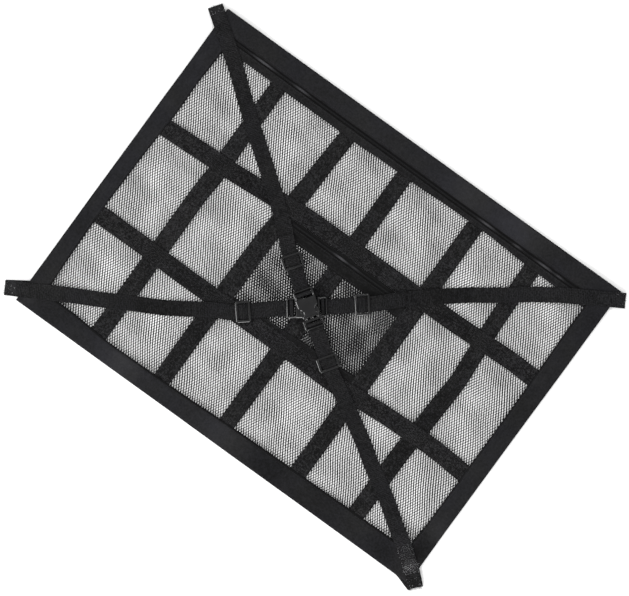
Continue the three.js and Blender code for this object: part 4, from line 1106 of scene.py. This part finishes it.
def strap_line(strap):
    angle = math.radians(strap["buckle"]["angle"])
    outward = np.array([math.cos(angle), math.sin(angle)]) * (-1 if strap["socket"] else 1)
    centre = np.array(strap["buckle"]["place"])
    end = centre + outward * BUCKLE_LENGTH / 2
    glide = np.array(strap["glide"], float)
    way = (end - glide) / np.hypot(*(end - glide))
    straight = [glide - GLIDE_LEAD * way, glide + GLIDE_TRAIL * way, end + BUCKLE_LEAD * outward]
    route = Route([*strap["points"], *straight, centre])
    glide_at = route.reach[len(strap["points"])] + GLIDE_LEAD
    buckle_at = route.reach[-1] - BUCKLE_LENGTH / 2
    return route, glide_at, buckle_at, math.atan2(way[1], way[0])


def node_tree(name):
    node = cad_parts[name]
    vertices = [node.matrix_world @ vertex.co for vertex in node.data.vertices]
    return BVHTree.FromPolygons(vertices, [list(face.vertices) for face in node.data.polygons])


def heights_under(tree, x, y):
    """Heights in millimetres of all faces over a point, from the lowest up."""
    found = []
    origin = Vector((x * MM, y * MM, RAY_FROM))
    while True:
        hit = tree.ray_cast(origin, DOWN)[0]
        if hit is None:
            return sorted(found)
        found.append(hit.z / MM)
        origin = hit - Vector((0, 0, 2e-5))


def lower_ply(name, route, glide_at, buckle_at, floor):
    """Distances and centre heights of the lower ply, measured on the CAD strap."""
    tree = node_tree(f"strap_{name}")
    rows = []
    for at in np.arange(3.5, glide_at - GLIDE_LENGTH / 2 - 4, 3):
        point = route.place(at, 0.0)
        above = [height for height in heights_under(tree, *point) if height > 1.2]
        rows.append((at, (above[0] + above[1]) / 2))
    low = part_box(f"tri_glide_{name}")[0][2] / MM + GAP + CLOTH / 2
    high = low + GLIDE_CENTRE_HIGH
    outside = GLIDE_LENGTH / 2 + 2
    under_bar = GLIDE_LENGTH / 2 - GLIDE_BAR - 0.6
    over_bar = GLIDE_CENTRE_BAR / 2 + 0.9
    for at, height in (
        (-outside, low), (-under_bar, low), (-over_bar, high),
        (over_bar, high), (under_bar, low), (outside, low),
    ):
        rows.append((glide_at + at, height))
    buckle_low = floor + GAP + CLOTH / 2
    rows += [(buckle_at - 7, buckle_low), (buckle_at, buckle_low)]
    return rows


def bar_loop(ladder, buckle_at, floor):
    """The strap's way round the inner bar of its buckle half."""
    start = ladder["outer_bar"] + ladder["outer_slot"]
    end = start + ladder["inner_bar"]
    away, under = CLOTH / 2 + 0.4, GAP + CLOTH / 2
    over = BAR_HIGH + away
    rows = [
        (end - 0.1, under), (end + 0.7, under + 0.4), (end + away, under + 1.2),
        (end + away, over - 1.0), (end + 0.5, over - 0.25), (end - 0.3, over),
        (start + 0.3, over), (start - 0.5, over - 0.25), (start - away, over - 1.0),
        (start - away, under + PLY_RISE + 0.9), (start - away - 0.4, under + PLY_RISE + 0.25),
        (start - away - 1.2, under + PLY_RISE),
    ]
    return [(buckle_at + inward, floor + height) for inward, height in rows]


def round_corners(path, times=2):
    """Cuts the corners of a path of rows, and keeps its two ends."""
    for _ in range(times):
        before, after = path[:-1], path[1:]
        cut = np.stack([0.75 * before + 0.25 * after, 0.25 * before + 0.75 * after], 1)
        path = np.concatenate([path[:1], cut.reshape(-1, path.shape[1]), path[-1:]])
    return path


def refine(path, longest):
    """Puts extra rows on the long steps of a path."""
    rows = [path[:1]]
    for before, after in zip(path[:-1], path[1:]):
        count = max(1, math.ceil(np.hypot(*(after - before)[:2]) / longest))
        part = np.arange(1, count + 1)[:, None] / count
        rows.append(before + (after - before) * part)
    return np.concatenate(rows)


STRAP_SECTION = np.array([
    (-1, 0.02), (-0.992, 0.3), (-0.95, 0.46), (-0.88, 0.43), (-0.6, 0.38), (-0.3, 0.38),
    (0, 0.38), (0.3, 0.38), (0.6, 0.38), (0.88, 0.43), (0.95, 0.46), (0.992, 0.3), (1, 0.02),
    (0.985, -0.34), (0.9, -0.45), (0.3, -0.4), (-0.3, -0.4), (-0.9, -0.45), (-0.985, -0.34),
])

# Soft cross folds in the top ply: distance along, width, height
STRAP_FOLDS = {
    "top_left": [(30, 9, 0.5), (52, 8, 0.3), (150, 14, 0.25), (255, 12, -0.2), (330, 14, 0.3)],
    "top_right": [(26, 7, 0.6), (44, 9, 0.35), (190, 14, 0.3), (300, 12, 0.3), (352, 10, -0.2)],
    "bottom_left": [(24, 8, 0.55), (41, 7, 0.4), (120, 16, 0.3), (235, 13, 0.3), (310, 12, -0.2)],
    "bottom_right": [(22, 8, 0.6), (60, 12, 0.4), (131, 7, 0.55), (139, 6, -0.3), (280, 14, 0.3)],
}
STRAP_STEP = 2.6
STRAP_WAVE = 0.12
STRAP_SMOOTH_DEGREES = 70
strap_waves = Ripples(21, 90, 22)
strap_edge = Ripples(22, 60, 12)


def strap_path(name, strap, line):
    """Rows of distance along the route, centre height and turn, over the strap's whole length."""
    route, glide_at, buckle_at, _ = line
    half, turn = CLOTH / 2, strap["turn"]
    floor = strap["buckle"]["floor"]
    under = [
        (STRAP_UNDER_LENGTH, half, turn), (30, half, turn), (8, half, turn), (1.6, half, 0.6 * turn),
        (0.8, half + 0.25, 0.3 * turn), (0.5, half + 0.9, 0), (0.8, half + 1.55, 0),
        (1.6, half + 1.9, 0),
    ]
    lower = lower_ply(name, route, glide_at, buckle_at, floor)
    ladder = SOCKET_LADDER if strap["socket"] else PRONG_LADDER
    loop = bar_loop(ladder, buckle_at, floor)
    tail_end = glide_at - strap["tail"]
    upper = [(at, height + PLY_RISE) for at, height in lower if at > tail_end + 2][::-1]
    end_height = np.interp(tail_end, *zip(*lower)) + PLY_RISE
    flat = [(at, height, 0) for at, height in [*lower, *loop, *upper, (tail_end, end_height)]]
    path = np.array([*under, *flat], float)
    return refine(round_corners(path), STRAP_STEP)


def strap_fold_height(name, at):
    total = np.zeros_like(at)
    for place, width, height in STRAP_FOLDS[name]:
        total = total + height * np.exp(-(((at - place) / width) ** 2))
    return total


def make_strap(name, strap):
    line = strap_line(strap)
    route, glide_at = line[0], line[1]
    path = strap_path(name, strap, line)
    normal = left_of(unit(np.gradient(path[:, :2], axis=0)))
    side, face = STRAP_SECTION[:, 0], STRAP_SECTION[:, 1] * CLOTH * 0.98
    at = path[:, :1] + normal[:, :1] * face[None, :]
    height = path[:, 1:2] + normal[:, 1:] * face[None, :]
    length = reach_along(path[:, :2])
    half = STRAP_WIDTH / 2 - 0.15 + 0.12 * strap_edge(length, 0 * length)
    across = half[:, None] * side[None, :]
    point = route.place(at, across, path[:, 2:3])
    free = (path[:, :1] > 8) & (path[:, :1] < glide_at - 24) & (path[:, 1:2] > 1.6)
    waves = STRAP_WAVE * strap_waves(point[..., 0], point[..., 1])
    swell = strap_fold_height(name, path[:, 0])[:, None] + waves
    height = height + np.where(free, np.maximum(swell, -0.1), 0)
    ring = reach_along(np.column_stack([side * STRAP_WIDTH / 2, face]))
    outlines = np.concatenate([point, height[..., None]], -1)
    piece = sweep(f"strap_{name}_webbing", outlines, length, ring, STRAP_SMOOTH_DEGREES)
    keep(piece, strap_cloth, [f"strap_{name}"])
    ladder = SOCKET_LADDER if strap["socket"] else PRONG_LADDER
    # Painted shade on the strap where it goes down into the buckle's slots, and a painted highlight
    # where it lies over the inner bar
    slot = line[2] + ladder["outer_bar"] - 1.5
    over_bar = path[:, 1] > strap["buckle"]["floor"] + BAR_HIGH
    painted_slot_light = np.where(path[:, 0] > slot, np.where(over_bar, 0.35, -0.95), 0)
    paint(piece, WEAR_AND_PAINTED_LIGHT[f"strap_{name}"], np.repeat(painted_slot_light, len(STRAP_SECTION)))
    return piece


# Hardware, each piece made flat along X and then put in its place

SLOT_HALF = STRAP_WIDTH / 2 + 0.6
GLIDE_HEIGHT = 5.5
GLIDE_OUTER_LOW = 3.1
OUTER_BAR_LOW = 3.0
BAR_LOW = 1.7
LADDER_HEIGHT = 6.5
END_RADIUS = 2.5
CUT_BEVEL = 0.22
RIM_SLOPE = (1.5, 0.85)
THIN_RIM_SLOPE = (1.1, 0.65)


def arc(centre, radius, start, end, count=7):
    angles = np.radians(np.linspace(start, end, count))
    return [(centre[0] + radius * math.cos(a), centre[1] + radius * math.sin(a)) for a in angles]


def bezier(first, second, third, fourth, count=9):
    part = np.linspace(0, 1, count)[:, None]
    left = 1 - part
    a, b, c, d = (np.array(point, float) for point in (first, second, third, fourth))
    points = left**3 * a + 3 * left**2 * part * b + 3 * left * part**2 * c + part**3 * d
    return [tuple(point) for point in points]


def rounded_rectangle(x_low, x_high, y_low, y_high, radius):
    return [
        *arc((x_low + radius, y_low + radius), radius, 180, 270),
        *arc((x_high - radius, y_low + radius), radius, 270, 360),
        *arc((x_high - radius, y_high - radius), radius, 0, 90),
        *arc((x_low + radius, y_high - radius), radius, 90, 180),
    ]


def inset(outline, distance):
    """The outline, which runs to the left round its inside, moved in by a distance."""
    before = unit(outline - np.roll(outline, 1, axis=0))
    after = unit(np.roll(outline, -1, axis=0) - outline)
    way = unit(before + after)
    widen = 1 / np.maximum(0.75, (way * after).sum(1))
    return outline + left_of(way) * (distance * widen)[:, None]


def plate(outline, low, high, rim):
    """A moulded plate: a sloping rim round the top and a small round round the bottom."""
    outline = np.array(outline, float)
    close = np.hypot(*(outline - np.roll(outline, 1, axis=0)).T) > 1e-6
    outline = outline[close]
    across, drop = rim
    rings = [
        (0.45, low), (0.12, low + 0.14), (0, low + 0.45), (0, high - drop - 0.35),
        (0.1, high - drop - 0.1), (0.3, high - drop + 0.05), (across, high - 0.08),
        (across + 0.35, high),
    ]
    points = np.concatenate([
        np.column_stack([inset(outline, part), np.full(len(outline), height)]) for part, height in rings
    ])
    quads, bottom, top = tube_faces(len(rings), len(outline))
    return fix_normals(make_object("plate", points, [quads, [bottom], [top]]))


def block(x, y, z):
    points = [(a, b, c) for a in x for b in y for c in z]
    quads = [(0, 1, 3, 2), (4, 6, 7, 5), (0, 4, 5, 1), (2, 3, 7, 6), (0, 2, 6, 4), (1, 5, 7, 3)]
    return fix_normals(make_object("block", points, [quads], smooth=False))


def combine(body, operation, others):
    """Cuts the others from the body, or joins them to it, and removes them."""
    for other in others:
        change = body.modifiers.new(operation, "BOOLEAN")
        change.operation = operation
        change.solver = "EXACT"
        change.object = other
        bpy.context.view_layer.update()
        shaped = body.evaluated_get(bpy.context.evaluated_depsgraph_get())
        mesh = bpy.data.meshes.new_from_object(shaped)
        body.modifiers.clear()
        old = body.data
        body.data = mesh
        bpy.data.meshes.remove(old)
        bpy.data.objects.remove(other)
    return body


def finish_moulding(body, name, place, angle, floor, node):
    """Rounds the cut edges, marks the sharp ones and puts the piece where it lies."""
    body.name = name
    body.data.name = name
    built = bmesh.new()
    built.from_mesh(body.data)
    bmesh.ops.remove_doubles(built, verts=built.verts, dist=2e-6)
    bmesh.ops.dissolve_limit(
        built, angle_limit=math.radians(0.6), verts=built.verts, edges=built.edges,
    )
    sharp = [edge for edge in built.edges if edge.calc_face_angle(0) > math.radians(50)]
    bmesh.ops.bevel(
        built, geom=sharp, offset=CUT_BEVEL * MM, segments=2, profile=0.5, affect="EDGES",
        clamp_overlap=True,
    )
    bmesh.ops.triangulate(built, faces=built.faces)
    bmesh.ops.recalc_face_normals(built, faces=built.faces)
    for face in built.faces:
        face.smooth = True
    for edge in built.edges:
        edge.smooth = edge.calc_face_angle(0) < math.radians(38)
    shift = Matrix.Translation((place[0] * MM, place[1] * MM, floor * MM))
    bmesh.ops.transform(built, matrix=shift @ Matrix.Rotation(angle, 4, "Z"), verts=built.verts)
    built.to_mesh(body.data)
    built.free()
    return keep(body, plastic, [node])


def tri_glide(name, place, angle, floor):
    half_length, half_width = GLIDE_LENGTH / 2, GLIDE_WIDTH / 2
    outline = rounded_rectangle(-half_length, half_length, -half_width, half_width, 3.5)
    body = plate(outline, 0, GLIDE_HEIGHT, THIN_RIM_SLOPE)
    slot_to, slot_from = half_length - GLIDE_BAR, GLIDE_CENTRE_BAR / 2
    across = (-SLOT_HALF, SLOT_HALF)
    combine(body, "DIFFERENCE", [
        block((-slot_to, slot_to), across, (GLIDE_CENTRE_HIGH, GLIDE_HEIGHT + 1)),
        block((slot_from, half_length + 1), across, (-1, GLIDE_OUTER_LOW)),
        block((-half_length - 1, -slot_from), across, (-1, GLIDE_OUTER_LOW)),
    ])
    return finish_moulding(body, f"{name}_moulding", place, angle, floor, name)


def ladder_cuts(ladder, end, inward):
    """What is cut from a plate to leave the two bars that the webbing goes round."""
    across = (-SLOT_HALF, SLOT_HALF)

    def span(low, high):
        return tuple(sorted((end + inward * low, end + inward * high)))

    inner_from = ladder["outer_bar"] + ladder["outer_slot"]
    inner_to = inner_from + ladder["inner_bar"]
    ladder_end = inner_to + ladder["inner_slot"]
    top = BUCKLE_HEIGHT + 1
    return [
        block(span(ladder["outer_bar"], inner_from), across, (-1, top)),
        block(span(inner_to, ladder_end), across, (-1, top)),
        block(span(-1, ladder["outer_bar"]), across, (-1, OUTER_BAR_LOW)),
        block(span(inner_from, inner_to), across, (-1, BAR_LOW)),
        block(span(inner_from, inner_to), across, (BAR_HIGH, top)),
    ]


def lowered_end(end, inward, length):
    """The plate of a ladder's end, which is lower than the buckle's body."""
    half = BUCKLE_WIDTH / 2
    low, high = sorted((end, end + inward * length))
    outline = rounded_rectangle(low, high, -half, half, END_RADIUS)
    return plate(outline, 0, LADDER_HEIGHT, THIN_RIM_SLOPE)


MOUTH = 14
MOUTH_HALF = 14.6
RING_FROM = 10
WAIST_HALF = 10.5
WINDOW_FROM = -3
CAVITY = {"from": -11.5, "half": 12.2, "low": 2.2, "high": 6.8}


def buckle_socket(name, place, angle, floor):
    end, half = -BUCKLE_LENGTH / 2, BUCKLE_WIDTH / 2
    ladder_length = sum(SOCKET_LADDER.values())
    body_from = end + ladder_length - 1.5
    upper = [
        *bezier((11, MOUTH_HALF), (8, MOUTH_HALF), (8, WAIST_HALF), (5.5, WAIST_HALF)),
        *bezier((3, WAIST_HALF), (-1, WAIST_HALF), (0, half), (-6, half)),
        *arc((body_from + 2, half - 2), 2, 90, 180),
    ]
    lower = [(x, -y) for x, y in upper[::-1]]
    outline = [*lower, *arc((MOUTH - 1.5, -MOUTH_HALF + 1.5), 1.5, 270, 360),
               *arc((MOUTH - 1.5, MOUTH_HALF - 1.5), 1.5, 0, 90), *upper]
    body = plate(outline, 0, BUCKLE_HEIGHT, RIM_SLOPE)
    combine(body, "UNION", [lowered_end(end, 1, ladder_length + 6)])
    inside, height = (-CAVITY["half"], CAVITY["half"]), (CAVITY["low"], CAVITY["high"])
    combine(body, "DIFFERENCE", [
        block((CAVITY["from"], MOUTH + 1), inside, height),
        block((WINDOW_FROM, RING_FROM), (-BUCKLE_WIDTH, BUCKLE_WIDTH), height),
        *ladder_cuts(SOCKET_LADDER, end, 1),
    ])
    return finish_moulding(body, f"{name}_moulding", place, angle, floor, name)


PRONG_BASE = 17
ARM_ROOT = PRONG_BASE + 1
ARM_TIP = -9.5
ARM_HALF = 11.9
ARM_HEIGHT = (2.5, 6.5)
BUTTON_FROM = RING_FROM - 0.4
BUTTON_RIBS = 5


def arm_outline(side):
    """A springy arm with its ribbed side button. side is the sign of its side."""
    bulge = np.array(bezier(
        (BUTTON_FROM, MOUTH_HALF), (7, 16.4), (2, 16.2), (WINDOW_FROM + 0.6, ARM_HALF), 41,
    ))
    part = np.linspace(0, 1, len(bulge))
    ribs = 0.28 * np.abs(np.sin(math.pi * BUTTON_RIBS * ramp(part, 0.05, 0.8)))
    bulge[:, 1] -= ribs * (part > 0.05) * (part < 0.8)
    points = [
        (ARM_ROOT, 8.2), (ARM_ROOT, ARM_HALF), (BUTTON_FROM, ARM_HALF), *map(tuple, bulge),
        (ARM_TIP, 11.2), (ARM_TIP, 9.0), (-1, 9.0),
    ]
    if side < 0:
        points = [(x, -y) for x, y in points[::-1]]
    return points


def slab(outline, low, high):
    points = np.array([(x, y, z) for z in (low, high) for x, y in outline])
    quads, bottom, top = tube_faces(2, len(outline))
    return fix_normals(make_object("slab", points, [quads, [bottom], [top]], smooth=False))


def buckle_prongs(name, place, angle, floor):
    end, half = BUCKLE_LENGTH / 2, BUCKLE_WIDTH / 2
    ladder_length = sum(PRONG_LADDER.values())
    outline = rounded_rectangle(PRONG_BASE, end - ladder_length + 1.5, -half, half, 1.4)
    body = plate(outline, 0, BUCKLE_HEIGHT - 0.5, (0.9, 0.6))
    combine(body, "UNION", [
        lowered_end(end, -1, ladder_length + 1.2),
        slab(arm_outline(1), *ARM_HEIGHT),
        slab(arm_outline(-1), *ARM_HEIGHT),
        block((-6, ARM_ROOT), (-2.2, 2.2), ARM_HEIGHT),
    ])
    combine(body, "DIFFERENCE", ladder_cuts(PRONG_LADDER, end, -1))
    return finish_moulding(body, f"{name}_moulding", place, angle, floor, name)


def make_hardware():
    for name, strap in STRAPS.items():
        node = f"tri_glide_{name}"
        tri_glide(node, strap["glide"], strap_line(strap)[3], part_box(node)[0][2] / MM)
    for name, buckle in (("upper", UPPER_BUCKLE), ("lower", LOWER_BUCKLE)):
        angle = math.radians(buckle["angle"])
        buckle_socket(f"buckle_{name}_socket", buckle["place"], angle, buckle["floor"])
        buckle_prongs(f"buckle_{name}_prongs", buckle["place"], angle, buckle["floor"])


# Stitches

STITCH_LENGTH = 2.5
STITCH_STEP = 3.3
STITCH_HALF = 0.32
STITCH_SINK = 0.18
STITCH_RISE = 0.3
SEAM_STEP = 2.0
BINDING_SEAM_END = 34
SEAM_SPANS = {
    "short_tape": (-262, 246), "long_tape": (-366, 364), "top_zip": (-360, 360),
    "middle_zip": (-106, 124),
}
thread_wander = Ripples(31, 50, 12)


def seam_rows():
    """Seams as a name, the pieces that they are sewn on and points along them."""
    rows = []

    def seam(name, x, y):
        rows.append((name, np.column_stack(np.broadcast_arrays(x, y))))

    for name, (edge, axis, inward) in BINDINGS.items():
        along = np.arange(edge[0][0] + BINDING_SEAM_END, edge[-1][0] - BINDING_SEAM_END, SEAM_STEP)
        across = column(edge, along, 2) - inward * BINDING_SEAM
        seam(name, *((across, along) if axis == "y" else (along, across)))
    along = np.arange(*SEAM_SPANS["short_tape"], SEAM_STEP)
    for number in range(5):
        for side in (-1, 1):
            across = tape_x(number, along) + side * (tape_half(number, along) - TAPE_SEAM)
            seam(f"short_tape_{number + 1}", across, along)
    along = np.arange(*SEAM_SPANS["long_tape"], SEAM_STEP)
    for number in range(2):
        for side in (-1, 1):
            across = long_y(number, along) + side * (LONG_TAPE_WIDTH / 2 - TAPE_SEAM)
            seam(f"long_tape_{number + 1}", along, across)
    along = np.arange(*SEAM_SPANS["top_zip"], SEAM_STEP)
    seam("top_zip_facing", along, column(TOP_FACING_EDGE, along, 1) + FACING_SEAM)
    seam("top_zip_facing", along, TOP_FACING_HIGH - 2)
    along = np.arange(*SEAM_SPANS["middle_zip"], SEAM_STEP)
    seam("middle_zip_facing", along, column(POCKET_EDGES, along, 1) + FACING_SEAM)
    seam("middle_zip_facing", along, MIDDLE_FACING_HIGH - 2)
    seam("pocket_hem", along, column(POCKET_EDGES, along, 2) - FACING_SEAM)
    across = np.arange(-9.5, 9.6, 1.0)
    for name, strap in STRAPS.items():
        route, glide_at = strap_line(strap)[:2]
        tail = glide_at - strap["tail"]
        for at in (tail + 5, tail + 12):
            seam(f"strap_{name}", *route.place(np.full_like(across, at), across).T)
    return rows


def spaced(points, step):
    """Points at even steps along a line of points, and the direction there."""
    reach = reach_along(points)
    at = np.arange(step / 2, reach[-1], step)
    place = np.column_stack([np.interp(at, reach, points[:, axis]) for axis in (0, 1)])
    ahead = np.column_stack([np.interp(at + 0.5, reach, points[:, axis]) for axis in (0, 1)])
    way = ahead - place
    return place, way / np.maximum(np.hypot(way[:, 0], way[:, 1]), 1e-6)[:, None]


def make_stitches(pieces):
    """Small closed threads on the seams, where nothing covers them."""
    vertices, faces, owner = [], [], []
    for piece in pieces:
        start = len(vertices)
        vertices += [vertex.co for vertex in piece.data.vertices]
        for face in piece.data.polygons:
            faces.append([start + index for index in face.vertices])
            owner.append(piece.name)
    tree = BVHTree.FromPolygons(vertices, faces)
    made = []
    for name, line in seam_rows():
        line = line + 0.12 * np.column_stack([
            thread_wander(line[:, 0], line[:, 1]), thread_wander(line[:, 1], line[:, 0]),
        ])
        for place, way in zip(*spaced(line, STITCH_STEP)):
            hit, normal, index, _ = tree.ray_cast(Vector((*(place * MM), RAY_FROM)), DOWN)
            if hit is None or not owner[index].startswith(name):
                continue
            side = np.array([-way[1], way[0]])
            base = np.array([hit.x, hit.y, hit.z]) / MM
            lean = -(normal.x * way[0] + normal.y * way[1]) / max(normal.z, 0.3)
            along = np.array([way[0], way[1], lean]) * STITCH_LENGTH / 2
            across = np.array([side[0], side[1], 0]) * STITCH_HALF
            rise = np.array([0, 0, STITCH_RISE])
            sink = np.array([0, 0, STITCH_SINK])
            stitch = [base - along - sink, base + along - sink]
            for ring in (base - 0.45 * along, base + 0.45 * along):
                stitch += [ring + across, ring + rise, ring - across, ring - rise]
            made.append(stitch)
    points = np.array(made)
    count = len(points)
    shift = 10 * np.arange(count)[:, None, None]
    quads = np.array([(2, 3, 7, 6), (3, 4, 8, 7), (4, 5, 9, 8), (5, 2, 6, 9)])
    caps = np.array([
        (0, 3, 2), (0, 4, 3), (0, 5, 4), (0, 2, 5), (1, 6, 7), (1, 7, 8), (1, 8, 9), (1, 9, 6),
    ])
    obj = make_object(
        "stitches", points.reshape(-1, 3),
        [(quads[None] + shift).reshape(-1, 4), (caps[None] + shift).reshape(-1, 3)],
    )
    keep(fix_normals(obj), thread)


# Loose fibres at the worn ends of the straps

# Strap, distance along it, spread along it, count, length, whether the fibres are light lint
FRAYS = [
    ("bottom_right", 4, 3, 46, 5.5, False), ("bottom_right", 33, 8, 190, 3.4, True),
    ("bottom_right", 54, 20, 150, 3.0, True), ("bottom_right", 10, 9, 26, 3.5, True),
    ("bottom_left", 3, 2, 26, 3.5, False), ("bottom_left", 10, 8, 26, 3.5, True),
    ("top_left", 3, 2, 22, 3.0, False), ("top_left", 8, 6, 20, 3.0, True),
    ("top_right", 3, 2, 18, 3.0, False), ("top_right", 10, 8, 14, 3.0, True),
]
FIBRE_HALF = 0.14
FIBRE_STEPS = 5


def fibre_line(random, start, outward, length, light):
    """Points along a fibre that curls away over the cloth. Lint lies any way, and frays point out."""
    turn = math.atan2(outward[1], outward[0]) + random.uniform(-0.6, 0.6)
    if light:
        turn = random.uniform(0, 2 * math.pi)
    curl = random.uniform(-0.35, 0.35)
    step = length * random.uniform(0.4, 1.0) / FIBRE_STEPS
    rise = 0.12 if light else -0.05
    line = [start]
    for _ in range(FIBRE_STEPS):
        line.append(line[-1] + step * np.array([math.cos(turn), math.sin(turn), rise]))
        turn += curl
        rise = -0.1
    line = np.array(line)
    line[:, 2] = np.maximum(line[:, 2], 0.3)
    return line


def fibre_mesh(name, lines, look):
    """Thin three-sided tubes round the lines."""
    way = np.gradient(lines, axis=1)
    way /= np.linalg.norm(way, axis=2)[..., None]
    side = np.stack([-way[..., 1], way[..., 0], np.zeros_like(way[..., 0])], -1)
    side /= np.linalg.norm(side, axis=2)[..., None]
    up = np.cross(way, side)
    angles = np.radians([90, 210, 330])
    ring = side[:, :, None] * np.cos(angles)[:, None] + up[:, :, None] * np.sin(angles)[:, None]
    obj = tubes(name, lines[:, :, None] + FIBRE_HALF * ring)
    keep(fix_normals(obj), look)


def make_fibres(straps):
    random = np.random.default_rng(41)
    groups = {True: [], False: []}
    for name, middle, spread, count, length, light in FRAYS:
        route = strap_line(STRAPS[name])[0]
        outward = route.soft(np.zeros(1))[0] - route.soft(np.full(1, 5.0))[0]
        mesh = straps[name].data
        tree = BVHTree.FromPolygons(
            [vertex.co for vertex in mesh.vertices], [list(face.vertices) for face in mesh.polygons],
        )
        for _ in range(count):
            at = middle + spread * random.uniform(-1, 1)
            across = STRAP_WIDTH / 2 * random.uniform(-0.97, 0.97)
            x, y = route.place(at if light else 0.9, across)
            hit = tree.ray_cast(Vector((x * MM, y * MM, RAY_FROM)), DOWN)[0]
            if hit is not None:
                start = np.array([x, y, hit.z / MM - 0.1])
                groups[light].append(fibre_line(random, start, outward, length, light))
    fibre_mesh("lint", np.array(groups[True]), lint)
    fibre_mesh("frayed_threads", np.array(groups[False]), thread)


make_net()
make_pocket()
tapes = make_short_tapes() + make_long_tapes()
zip_pieces = make_zip_cloth()
make_coils()
bindings = make_bindings()
strap_pieces = {name: make_strap(name, strap) for name, strap in STRAPS.items()}
make_hardware()
bpy.context.view_layer.update()
make_stitches([*tapes, *zip_pieces, *bindings, *strap_pieces.values()])
make_fibres(strap_pieces)

# Camera, floor and light

VIEW_TURN = math.radians(35.95)
VIEW_AIM = (-3.3, -6.5)
VIEW_WIDTH = 1037
LENS = 110
SENSOR = 36


def make_camera():
    data = bpy.data.cameras.new("camera")
    data.sensor_width = SENSOR
    data.lens = LENS
    distance = VIEW_WIDTH * LENS / SENSOR + 4
    data.clip_end = 20
    camera = bpy.data.objects.new("camera", data)
    bpy.context.scene.collection.objects.link(camera)
    camera.location = Vector((VIEW_AIM[0], VIEW_AIM[1], distance)) * MM
    camera.rotation_euler = (0, 0, VIEW_TURN)
    bpy.context.scene.camera = camera


def make_floor():
    half = 6000
    points = [(-half, -half, 0), (half, -half, 0), (half, half, 0), (-half, half, 0)]
    floor = make_object("floor", points, [[(0, 1, 2, 3)]])
    look = Look("floor", (0.9, 0.9, 0.9), 0.9, specular=0.1)
    floor.data.materials.append(look.material)


def add_area(name, turn, lean, distance, size, power):
    """A square light over the net. turn is its side in the picture, in degrees from the right, and
    lean its angle from straight up."""
    data = bpy.data.lights.new(name, "AREA")
    data.shape = "SQUARE"
    data.size = size
    data.energy = power
    light = bpy.data.objects.new(name, data)
    bpy.context.scene.collection.objects.link(light)
    side, rise = math.radians(turn) + VIEW_TURN, math.radians(lean)
    away = Vector((
        math.sin(rise) * math.cos(side), math.sin(rise) * math.sin(side), math.cos(rise),
    ))
    light.location = away * distance
    light.rotation_euler = away.to_track_quat("Z", "Y").to_euler()


def make_light():
    world = bpy.data.worlds.new("world")
    bpy.context.scene.world = world
    world.use_nodes = True
    background = world.node_tree.nodes["Background"]
    background.inputs["Color"].default_value = (1, 1, 1, 1)
    background.inputs["Strength"].default_value = 0.4
    for name, turn, lean, size, power in (
        ("side_left", 197, 60, 1.2, 40), ("side_low", 265, 60, 1.2, 36),
        ("left", 160, 31, 0.8, 17), ("top", 70, 31, 0.8, 17), ("low_right", 330, 31, 0.8, 16),
    ):
        add_area(name, turn, lean, 2.6, size, power)
    bpy.context.scene.view_settings.view_transform = "Standard"


make_camera()
make_floor()
make_light()
